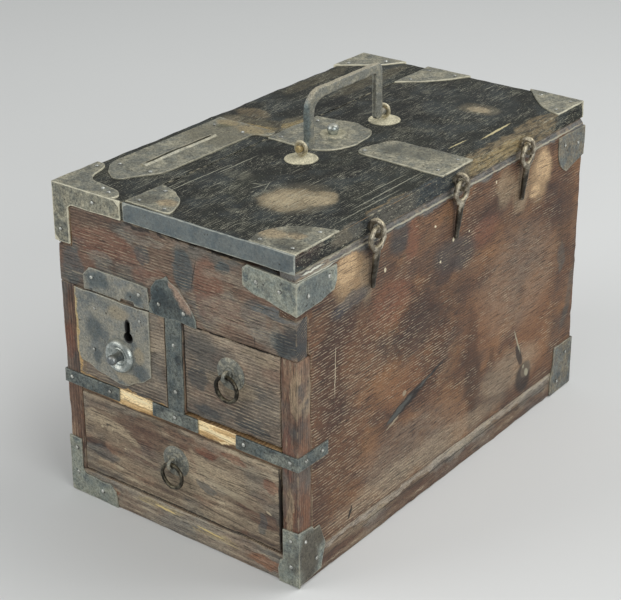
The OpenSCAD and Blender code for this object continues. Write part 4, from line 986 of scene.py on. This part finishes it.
def make_finishes(c):
    """All the finishes, by name, from the chosen colours"""
    oiled = (c.wood_dark, c.wood, c.wood_light)
    return {
        # Planed softwood, oiled and smoked: raised grain, pale dust beside it, rubbed tan at the hinges
        "side": wood(
            "Oiled and smoked softwood side", 1, (-40, 0, -170), oiled, c.dust, dash=0.8,
            warm=("86603f", 0.5), cool=("4b4640", 0.25), soft=0.34,
            drifts=on_side((-170, 150, 44, 90), (-96, 170, 50, 34), (-100, 30, 90, 24), (-30, 130, 30, 30)),
            marks=MARKS["side"], scars_and_painted_light=SCARS_SHADE_AND_HIGHLIGHTS["side"],
        ),
        # The same board with its grain across the front, cooler where it has been handled less
        "front": wood(
            "Oiled and smoked softwood front", 0, (0, 60, -200), ("423229", "685446", "8b7a69"), c.dust,
            dash=0.62, contrast=0.22, warm=("7c5a48", 0.45), cool=("5d6460", 0.6),
            drifts=on_front((-60, 245, 60, 20), (50, 225, 60, 20)), marks=MARKS["front"],
            scars_and_painted_light=SCARS_SHADE_AND_HIGHLIGHTS["front"],
        ),
        # Softwood that hands have rubbed paler, with dust in its close grain
        "drawer": wood(
            "Oiled softwood drawer front", 0, (0, 40, -60), ("4b4138", "7a6d5f", "a69883"), c.dust, dash=0.6,
            period=1.9, contrast=0.22, warm=("7a5540", 0.4), cool=("4c5150", 0.5),
            drifts=on_front((80, 150, 30, 30), (-60, 130, 50, 8)), marks=MARKS["drawer"],
            scars_and_painted_light=SCARS_SHADE_AND_HIGHLIGHTS["drawer"],
        ),
        # A flat-sawn board: its figure swirls
        "wide drawer": wood(
            "Oiled flat-sawn drawer front", 0, (0, -190, 70), ("55463a", "857561", "ae9f86"), c.dust,
            dash=0.3, period=6.0, contrast=0.34, warm=("7c5440", 0.4), cool=("5a605e", 0.35),
            marks=MARKS["wide drawer"], scars_and_painted_light=SCARS_SHADE_AND_HIGHLIGHTS["wide drawer"],
        ),
        # Upright grain, with redder and cooler patches
        "post": wood(
            "Oiled softwood post", 2, (260, 160, 0), ("432f25", "6b5141", "8f7862"), c.dust, dash=0.5,
            contrast=0.22, warm=("845538", 0.4), cool=("4f5554", 0.6), marks=MARKS["post"],
        ),
        # Bottom board, dried grey along its top and redder below
        "base": wood(
            "Weathered softwood base", 1, (-300, 0, -60), ("4b3a2e", "6e5c4b", "95866f"), c.dust, dash=0.6,
            cool=("7b807c", 0.4), marks=MARKS["base"], scars_and_painted_light=SCARS_SHADE_AND_HIGHLIGHTS["base"],
        ),
        "base front": wood(
            "Weathered softwood base, front", 0, (0, 60, -90), ("5a5045", "887d6e", "aaa08c"), c.dust,
            dash=0.8, warm=("80634e", 0.3), cool=("7b807c", 0.4), marks=MARKS["base front"],
            scars_and_painted_light=SCARS_SHADE_AND_HIGHLIGHTS["base front"],
        ),
        # Middle shelf: bare pale wood shows on its edge between the straps, where the finish has gone
        "rail": wood(
            "Worn softwood shelf edge", 0, (0, 60, -90), ("3a2a1f", "5d4733", "7d6548"), c.dust, dash=0.35,
            edge=0.0, marks=[(c.bare, 1.0, 0.0, on_front((-44, 114.5, 34, 8.5), (43, 114.5, 34, 8.5)))],
            scars_and_painted_light=SCARS_SHADE_AND_HIGHLIGHTS["rail"],
        ),
        # Smoke-blackened board, scratched along its grain and worn to bare wood in round patches
        "top": wood(
            "Smoke-blackened softwood top", 1, (-700, 0, 40), ("0d0f0d", c.black, "2e3029"), "aeac98",
            dash=0.18, period=2.0, contrast=0.34, cool=("373d3d", 0.6), wear="a29c86", edge=0.75, width=0.3,
            scratches=0.7, gloss=0.3, marks=MARKS["top"], scars_and_painted_light=SCARS_SHADE_AND_HIGHLIGHTS["top"],
        ),
        # Softwood that was never oiled: pale and even
        "inside": wood(
            "Plain softwood inside", 1, (-90, 0, -90), ("6d5238", "92744f", "ab8c62"), "c4a678", dash=0.35,
            edge=0.0,
        ),
        # Cut sheet iron that lies flat: dust and old wax fill its pits, and its rims are rubbed pale, with a
        # painted highlight where they face the front or the right
        "dusty iron": sheet_iron(
            "Dusty cut sheet iron", c.iron, "55574f", c.iron_dust, 0.75, 0.6, "dcd7bf",
            marks=IRON_MARKS["dusty iron"],
        ),
        # The same iron with rust round the slot, and duller rims
        "slot iron": sheet_iron(
            "Dusty cut sheet iron with rust", c.iron, "56584f", c.iron_dust, 0.6, 0.55, rim=0.4,
            marks=IRON_MARKS["slot iron"],
        ),
        # Paler iron in large patches, with soft rims
        "case iron": sheet_iron(
            "Patched cut sheet iron", "7e8680", "4a5458", "a3a392", 0.7, 0.7, rim=0.3, grit=0.8,
            marks=IRON_MARKS["case iron"],
        ),
        # Iron that is seldom touched: blue and rusty, without shine
        "back iron": sheet_iron(
            "Cut sheet iron, blue and rusty", "666c6a", "3d474c", "8d8068", 0.7, 0.8, rim=0.3,
        ),
        # Upright irons keep more of their blue-black scale
        "lock iron": sheet_iron(
            "Rubbed cut sheet iron", "767a78", "4c5659", "a29d8d", 0.75, 0.5, rim=0.4, grit=0.65,
            # The keyhole: painted shade over the cut hole, and a slot that is only painted
            holes_painted_dark=on_front((-47.3, 171.2, 5.0, 5.0), (-47.8, 180, 3.2, 7.6)), marks=IRON_MARKS["lock iron"],
        ),
        # Scale that is still dark and smooth, with a little dust
        "blue iron": sheet_iron(
            "Blue-black sheet iron", c.blue_iron, "30383b", "85877c", 0.6, 0.8, "a6a99e", 0.3,
            marks=[("93968b", 0.5, on_front((108, 111, 16, 5), (-3, 111, 14, 5)))],
        ),
        # A smooth sheet with few pits, so that it shines evenly
        "band iron": sheet_iron(
            "Smooth blue-grey sheet iron", "616b6e", "4c5559", "858882", 0.5, 0.45, "c2c4b8", 0.85, grit=0.4,
        ),
        # The same scale, rubbed tan near the plate's peak
        "cap iron": sheet_iron(
            "Blue-black sheet iron, rubbed", c.blue_iron, "2c3538", "747870", 0.4, 0.8, "a6a99e", 0.6,
            marks=IRON_MARKS["cap iron"],
        ),
        # Forged rings and eyes: black scale, bright where they rub
        "forged iron": forged_iron("Blackened forged iron", c.forged, "8a8474", "a09576", 0.6),
        "hinge iron": forged_iron(
            "Blackened forged iron, rubbed at the rings", "7a7264", "cfc7b3", "c6bb9f", 0.7,
            marks=[("17130f", 0.85, [blot(132, y, 243, 9, 5, 17) for y in HINGES_Y])],
        ),
        # Old wax fills the hammer marks, so that the eyes are pale and shine little
        "eye iron": forged_iron("Forged iron, waxed pale", "a39a80", "cdc3a3", "dad1b4", 0.7, 0.2, 0.4),
        # Grey and half matt, with wax in its hollow
        "dish iron": forged_iron("Dished iron washer", "74756a", "a09c87", "c4bda0", 0.6, 0.3, 0.5),
        # Heads rubbed bright, each with a black line at its rim: dirt, and painted shade where the dome turns
        # down
        "nail": sheet_iron(
            "Nail head, black at its rim and rubbed bright", "babcb6", "93958f", "a9a698", 0.3, 0.5, "1d1c19",
            0.9, metallic=0.7,
        ),
        # A grey bar that hands have smoothed, yellow with wax at its ends, with a painted bluish reflection
        # on the near leg and painted shade on the far leg
        "bail iron": forged_iron(
            "Worn forged iron bar", "8b8c84", "b2ad99", "b4aa92", 0.6, 0.4, 0.45,
            marks=IRON_MARKS["bail iron"],
        ),
        # Thick pale wax over the iron, almost matt
        "washer iron": forged_iron(
            "Dished iron washer, pale with wax", "87836f", "c6bfa4", "dad3b6", 0.6, 0.2, 0.55,
        ),
        # Grey iron with wax between its ridges
        "rosette": forged_iron("Chased iron rosette", "72746d", "aaa592", "b0a993", 0.6, 0.4, 0.45),
        # Black scale with small sharp highlights
        "ring iron": forged_iron("Black forged iron ring", "2b2822", "6f6a5c", "8f866c", 0.4, 0.8, 0.34),
        # Turned iron, polished by hands: bright and clean
        "steel": forged_iron("Rubbed bright iron", "949b98", "cfd4d0", "b5ae98", 0.45, 0.75, 0.27, grit=0.4),
        # The same, a little darker
        "dark steel": forged_iron("Rubbed iron knob", "6c7274", "a5aaaa", "a09b8a", 0.4, 0.75, 0.3, grit=0.5),
    }


# The chest, piece by piece


class CHEST_OT_finishes(bpy.types.Operator):
    """Mix the finishes from the chosen colours"""

    bl_idname = "chest.finishes"
    bl_label = "Finishes"

    def execute(self, context):
        FINISH.update(make_finishes(context.scene.chest_colours))
        return {"FINISHED"}


class CHEST_OT_boards(bpy.types.Operator):
    """Dress the case's boards"""

    bl_idname = "chest.boards"
    bl_label = "Case boards"

    def execute(self, context):
        sizes = context.scene.chest_sizes
        # Each board with the way its plain inner face looks
        rows = {
            "left_side_board": ("side", (1, 0, 0)),
            "back_board": ("front", (0, -1, 0)),
            "front_top_board": ("front", (0, 1, 0)),
            "front_posts": ("post", (0, 1, 0)),
            "middle_shelf": ("rail", (0, 0, 1)),
            "drawer_divider": ("post", (0, 1, 0)),
            "fixed_top_strip": ("top", (0, 0, -1)),
            "lid_board": ("top", (0, 0, -1)),
        }
        for node, (finish, way) in rows.items():
            dress_board(node, FINISH[finish], sizes, other=FINISH["inside"], ways=[way])
        ends = [(0, -1, 0), (0, 1, 0)]
        dress_board("bottom_board", FINISH["base"], sizes, other=FINISH["base front"], ways=ends)
        dress_board(
            "right_side_board",
            FINISH["side"],
            sizes,
            step=5,
            hollows=on_side(line(-8, 120, -100, 93, 3.4), (-66, 102, 26, 5.5, 16), (127, 46, 9, 14, 8)),
            other=FINISH["inside"],
            ways=[(-1, 0, 0)],
        )
        return {"FINISHED"}


class CHEST_OT_drawers(bpy.types.Operator):
    """Dress the fronts of the three drawers"""

    bl_idname = "chest.drawers"
    bl_label = "Drawer fronts"

    def execute(self, context):
        for drawer, finish in (("lock", "drawer"), ("small", "drawer"), ("large", "wide drawer")):
            dress_board(f"{drawer}_drawer_front", FINISH[finish], context.scene.chest_sizes, step=6)
        return {"FINISHED"}


class CHEST_OT_irons(bpy.types.Operator):
    """Dress the sheet irons"""

    bl_idname = "chest.irons"
    bl_label = "Sheet irons"

    def execute(self, context):
        # Each iron with its finish and the ways in which its outline wavers
        rows = {
            "strip_front_iron": ("dusty iron", ""),
            "strip_back_iron": ("dusty iron", ""),
            "case_iron_front": ("case iron", "Z"),
            "case_iron_back": ("back iron", "Z"),
            "base_irons_front": ("case iron", "Z"),
            "base_irons_back": ("back iron", "Z"),
            "rail_straps": ("blue iron", ""),
            "divider_strap": ("blue iron", ""),
            "divider_cap_plate": ("cap iron", "XZ"),
            "strike_plate": ("lock iron", "XZ"),
            "lid_front_band": ("band iron", ""),
            "lid_irons_front": ("dusty iron", "XY"),
            "lid_irons_back": ("dusty iron", ""),
            "lid_centre_plate": ("dusty iron", "XY"),
            "lid_side_strap": ("dusty iron", "XY"),
            "lock_plate": ("lock iron", "XZ"),
        }
        for node, (finish, waves) in rows.items():
            piece = dress_iron(node, FINISH[finish], context.scene.chest_sizes, waves=waves)
            if node == "rail_straps":
                # The drawers above slide over these straps, so they stay a little below the shelf's top
                places = points(piece)
                places[:, 2] = np.minimum(places[:, 2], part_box(node)[1][2] - 0.3 * MM)
                set_points(piece, places)
        dress_iron("coin_slot_plate", FINISH["slot iron"], context.scene.chest_sizes, waves="Y", lips=True)
        return {"FINISHED"}


class CHEST_OT_nails(bpy.types.Operator):
    """Model one domed nail head, and set a copy on each nail of the case, the lid and the lock plate"""

    bl_idname = "chest.nails"
    bl_label = "Nails"

    def execute(self, context):
        sizes = context.scene.chest_sizes
        r = sizes.nail / MM
        dome = [(0, 1.3), (r * 0.4, 1.15), (r * 0.72, 0.75), (r, 0.1), (r, -0.5), (0, -0.5)]
        head = turned("nail head", dome, 12)
        layer = head.data.attributes.new("edge", "FLOAT", "POINT")
        layer.data.foreach_set("value", r - np.hypot(*points(head).T[:2]) / MM)
        for node in ("case_nails", "lid_nails"):
            flat = merged_copy(node, "flat nails")
            open_up(flat)
            bpy.ops.mesh.separate(type="LOOSE")
            hold(flat)
            heads = []
            for one in [o for o in bpy.data.objects if o.name.startswith("flat nails")]:
                places = points(one) / MM
                low, high = places.min(0), places.max(0)
                middle = (low + high) / 2
                axis = int(np.argmin(high - low))
                way = 1 if axis == 2 or middle[axis] > 0 else -1
                middle[axis] = low[axis] if way > 0 else high[axis]
                turn = [(0, 90 * way, 0), (-90 * way, 0, 0), (0, 0, 0)][axis]
                # Heads are flatter on the left and the back, where the chest's box ends, and on the lid,
                # where the bail comes down
                outermost = axis == 0 and way < 0 or axis == 1 and way > 0
                tall = 0.66 if outermost or node == "lid_nails" else 1.0
                # No two heads side by side are of one size
                size = 0.9 + 0.2 * ((len(heads) * 7) % 5) / 5
                heads.append(settle(copy_of(head), middle, turn, (size, size, tall)))
                bpy.data.objects.remove(one)
            finish_piece(join(heads, "domed_" + node), FINISH["nail"], node)
        # Smaller nails on the lock plate, which the CAD model lacks, go with the lock's boss
        heads = []
        for x, z in LOCK_NAILS:
            heads.append(settle(copy_of(head), (x, PLATE_Y - 0.1, z), (90, 0, 0), (0.72, 0.72, 0.8)))
        finish_piece(join(heads, "lock_plate_nails"), FINISH["nail"], "lock_boss", stands_in=False)
        bpy.data.objects.remove(head)
        return {"FINISHED"}


class CHEST_OT_hinges(bpy.types.Operator):
    """Forge the rings and tails of the hinges"""

    bl_idname = "chest.hinges"
    bl_label = "Ring hinges"

    def execute(self, context):
        sizes = context.scene.chest_sizes
        for node in ("hinge_case_eyes", "hinge_lid_eyes"):
            piece = merged_copy(node, "forged_" + node)
            if node == "hinge_case_eyes":
                # Their tails are wider than the CAD model's by three tenths
                tails = points(piece)
                for y in [y * MM for y in HINGES_Y]:
                    mine = (tails[:, 2] < TAILS_Z * MM) & (np.abs(tails[:, 1] - y) < 10 * MM)
                    tails[mine, 1] = y + (tails[mine, 1] - y) * 1.3
                set_points(piece, tails)
            forge(piece, sizes, 0.45, 4)
            apply_modifier(piece, "DISPLACE", strength=0.4 * MM, mid_level=0.0, direction="NORMAL")
            finish_piece(piece, FINISH["hinge iron"], node)
        return {"FINISHED"}


class CHEST_OT_handle(bpy.types.Operator):
    """Forge the bail and its eyes, and dish its two washers"""

    bl_idname = "chest.handle"
    bl_label = "Bail handle"

    def execute(self, context):
        sizes = context.scene.chest_sizes
        bail = merged_copy("bail_handle", "forged_bail")
        apply_modifier(bail, "BEVEL", width=1.3 * MM, segments=2, limit_method="ANGLE", angle_limit=0.6)
        finish_piece(forge(bail, sizes, 0.65, 5, 3, 1.3), FINISH["bail iron"], "bail_handle")
        eyes = merged_copy("handle_eyes", "forged_handle_eyes")
        finish_piece(forge(eyes, sizes, 0.4, 4), FINISH["eye iron"], "handle_eyes")
        dish = [(0, 2.3), (3, 2.3), (6, 2.0), (8.6, 1.5), (10.2, 0.8), (11.2, 0.5), (12.3, 0.9), (13.4, 1.1)]
        dish += [(14.2, 0.8), (14.5, 0.3), (14.5, 0), (0, 0)]
        washers = [settle(turned("washer", dish), (HANDLE_X, y, TOP_Z)) for y in WASHERS_Y]
        pair = join(washers, "dished_handle_washers")
        batter(pair, 0.5 * MM, 9)
        finish_piece(pair, FINISH["washer iron"], "handle_washers")
        return {"FINISHED"}


class CHEST_OT_catch(bpy.types.Operator):
    """Turn the catch's knob and dish its washer"""

    bl_idname = "chest.catch"
    bl_label = "Catch"

    def execute(self, context):
        # A ball on its neck, and the shaft that goes down through the lid
        ball = [(0, 9), (2.3, 8.6), (4.1, 7.4), (5.1, 5.6), (5.3, 4.2), (4.9, 2.4), (4.2, 1.2), (4.2, 0)]
        shaft = [(3, 0), (3, -17.6), (0, -17.6)]
        knob = settle(turned("turned_catch_knob", ball + shaft, 32), (CATCH_X, CATCH_Y, 290.2))
        finish_piece(knob, FINISH["steel"], "catch_knob")
        dish = [(3.05, 1.0), (6.5, 0.9), (8.5, 1.15), (10, 1.75), (11.2, 1.85), (12.2, 1.1)]
        dish += [(12.5, 0), (3.05, 0), (3.05, 1.0)]
        washer = settle(turned("dished_catch_washer", dish), (CATCH_X, CATCH_Y, 289))
        batter(washer, 0.4 * MM, 9)
        finish_piece(washer, FINISH["dish iron"], "catch_washer")
        return {"FINISHED"}


class CHEST_OT_lock(bpy.types.Operator):
    """Turn the boss and the knob of the lock drawer"""

    bl_idname = "chest.lock"
    bl_label = "Lock boss and knob"

    def execute(self, context):
        bowl = [(0, 0.5), (4.6, 0.5), (5.4, 0.9), (6.2, 2.0), (7.2, 2.3), (7.9, 1.7), (8.6, 1.9), (9.8, 3.2)]
        bowl += [(11.4, 4.0), (12.8, 3.8), (14.0, 2.6), (14.8, 1.0), (15, 0), (0, 0)]
        boss = settle(turned("turned_lock_boss", bowl, 48), LOCK_KNOB, (90, 0, 0))
        batter(boss, 0.25 * MM, 12)
        finish_piece(boss, FINISH["steel"], "lock_boss")
        stub = [(0, 13), (1.8, 12.8), (3.3, 12.1), (4.3, 10.7), (4.5, 9.2), (4.2, 7.6), (3.8, 6), (3.9, 2)]
        stub += [(4.2, 0.7), (0, 0.7)]
        knob = settle(turned("turned_lock_knob", stub, 32), LOCK_KNOB, (90, 0, 0))
        finish_piece(knob, FINISH["dark steel"], "lock_knob")
        return {"FINISHED"}


class CHEST_OT_pulls(bpy.types.Operator):
    """Model one rosette with its eye and one ring, and set a copy of each on two drawers"""

    bl_idname = "chest.pulls"
    bl_label = "Ring pulls"

    def execute(self, context):
        sizes = context.scene.chest_sizes
        ridges = [(0, 2.1), (4, 2.1), (5.2, 1.5), (6.6, 1.9), (8, 1.4), (9.6, 1.7), (11.2, 1.5), (12.6, 0.9)]
        rosette = turned("rosette", ridges + [(13.8, 0.7), (14, 0), (0, 0)])
        bpy.ops.mesh.primitive_torus_add(
            major_radius=3.8 * MM, minor_radius=1.35 * MM, major_segments=32, minor_segments=12
        )
        eye = settle(bpy.context.object, (0, 0, 6), (0, 90, 0))
        stem = settle(turned("stem", [(0, 0), (1.8, 0), (1.6, 2.6), (0, 2.8)], 16))
        whole = forge(join([rosette, eye, stem], "rosette"), sizes, 0.4, 4, 1, 0.8)
        bpy.ops.object.select_all(action="DESELECT")
        bpy.ops.mesh.primitive_torus_add(
            major_radius=10.5 * MM, minor_radius=1.75 * MM, major_segments=64, minor_segments=14
        )
        ring = forge(bpy.context.object, sizes, 0.4, 4, 1)
        # The second ring is turned, so that its hammer marks lie elsewhere
        for drawer, turn in (("small", 0), ("large", 140)):
            seat = settle(copy_of(whole), PULLS[drawer], (90, 0, 0))
            seat.name = f"chased_{drawer}_pull_rosette"
            finish_piece(seat, FINISH["rosette"], f"{drawer}_pull_rosette")
            low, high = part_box(f"{drawer}_pull_ring")
            middle = [(a + b) / 2 / MM for a, b in zip(low, high)]
            hoop = settle(settle(copy_of(ring), turn=(0, 0, turn)), middle, (90, 0, 0))
            hoop.name = f"forged_{drawer}_pull_ring"
            finish_piece(hoop, FINISH["ring iron"], f"{drawer}_pull_ring")
        bpy.data.objects.remove(whole)
        bpy.data.objects.remove(ring)
        return {"FINISHED"}


class CHEST_OT_inside(bpy.types.Operator):
    """Finish the parts inside, which keep their CAD shapes"""

    bl_idname = "chest.inside"
    bl_label = "Inside"

    def execute(self, context):
        for node, piece in NODES.items():
            if not piece.hide_render and SLOT_OF[node] in ("case_wood", "front_wood", "pale_wood"):
                piece.data.materials[0] = FINISH["inside"]
        for node in ("lock_case", "lock_bolt", "catch_bar"):
            NODES[node].data.materials[0] = FINISH["forged iron"]
        return {"FINISHED"}


# The camera, found from seven corners of the chest in the photo: metres, then degrees round, up and rolled
CAMERA_PLACE = (0.8032, -1.0776, 0.7817)
CAMERA_TURN = (37.6257, 23.6125, -0.3846)
LENS = 96.52  # millimetres, for a sensor 36 mm wide
SHIFT = -60 / 621  # the photo is cut 60 of its 621 pixels lower than its middle


def area_lamp(name, place, aim, size, power):
    """A soft square lamp that looks at a point"""
    data = bpy.data.lights.new(name, "AREA")
    data.size, data.energy = size, power
    lamp = bpy.data.objects.new(name, data)
    looking = (Vector(aim) - Vector(place)).to_track_quat("-Z", "Y").to_matrix().to_4x4()
    lamp.matrix_world = Matrix.Translation(place) @ looking
    bpy.context.scene.collection.objects.link(lamp)


class CHEST_OT_stage(bpy.types.Operator):
    """Set up the floor, the lamps and the camera"""

    bl_idname = "chest.stage"
    bl_label = "Stage"

    def execute(self, context):
        scene = context.scene
        scene.view_settings.view_transform = "Standard"
        bpy.ops.object.select_all(action="DESELECT")
        bpy.ops.mesh.primitive_plane_add(size=30)
        floor = context.object
        floor.name = "floor"
        floor.data.materials.append(stage_paper())
        area_lamp("lamp over the back", (0.9, 1.0, 2.3), (0, 0, 0.2), 1.6, 34)
        area_lamp("lamp at the front left", (-1.6, -1.9, 1.5), (0, 0, 0.15), 1.8, 26)
        area_lamp("lamp at the right", (2.4, -0.9, 1.2), (0, 0, 0.12), 1.6, 30)
        world = bpy.data.worlds.new("Pale room")
        world.use_nodes = True
        background = world.node_tree.nodes["Background"]
        background.inputs["Color"].default_value = tone("e2e4e4")
        background.inputs["Strength"].default_value = 0.55
        scene.world = world
        around, up, roll = (math.radians(a) for a in CAMERA_TURN)
        back = Vector((math.sin(around) * math.cos(up), -math.cos(around) * math.cos(up), math.sin(up)))
        right = Vector((math.cos(around), math.sin(around), 0))
        above = back.cross(right)
        turned_right = right * math.cos(roll) + above * math.sin(roll)
        turned_up = above * math.cos(roll) - right * math.sin(roll)
        camera = bpy.data.objects.new("camera", bpy.data.cameras.new("camera"))
        camera.data.sensor_width, camera.data.lens, camera.data.shift_y = 36.0, LENS, SHIFT
        axes = Matrix((turned_right, turned_up, back)).transposed().to_4x4()
        camera.matrix_world = Matrix.Translation(CAMERA_PLACE) @ axes
        scene.collection.objects.link(camera)
        scene.camera = camera
        return {"FINISHED"}


class CHEST_PT_panel(bpy.types.Panel):
    """The chest's sizes, its colours and its steps"""

    bl_label = "Coin chest"
    bl_space_type = "VIEW_3D"
    bl_region_type = "UI"
    bl_category = "Coin Chest"

    def draw(self, context):
        for group in (context.scene.chest_sizes, context.scene.chest_colours):
            for name in group.__annotations__:
                self.layout.prop(group, name)
        for step in STEPS:
            self.layout.operator(step.bl_idname)


STEPS = [
    CHEST_OT_finishes,
    CHEST_OT_boards,
    CHEST_OT_drawers,
    CHEST_OT_irons,
    CHEST_OT_nails,
    CHEST_OT_hinges,
    CHEST_OT_handle,
    CHEST_OT_catch,
    CHEST_OT_lock,
    CHEST_OT_pulls,
    CHEST_OT_inside,
    CHEST_OT_stage,
]
CLASSES = [ChestSizes, ChestColours, *STEPS, CHEST_PT_panel]


def register():
    for kind in CLASSES:
        bpy.utils.register_class(kind)
    bpy.types.Scene.chest_sizes = bpy.props.PointerProperty(type=ChestSizes)
    bpy.types.Scene.chest_colours = bpy.props.PointerProperty(type=ChestColours)


def unregister():
    del bpy.types.Scene.chest_colours
    del bpy.types.Scene.chest_sizes
    for kind in reversed(CLASSES):
        bpy.utils.unregister_class(kind)


def main():
    """Build every piece in order"""
    register()
    for step in STEPS:
        group, name = step.bl_idname.split(".")
        getattr(getattr(bpy.ops, group), name)()


if __name__ == "__main__":
    main()
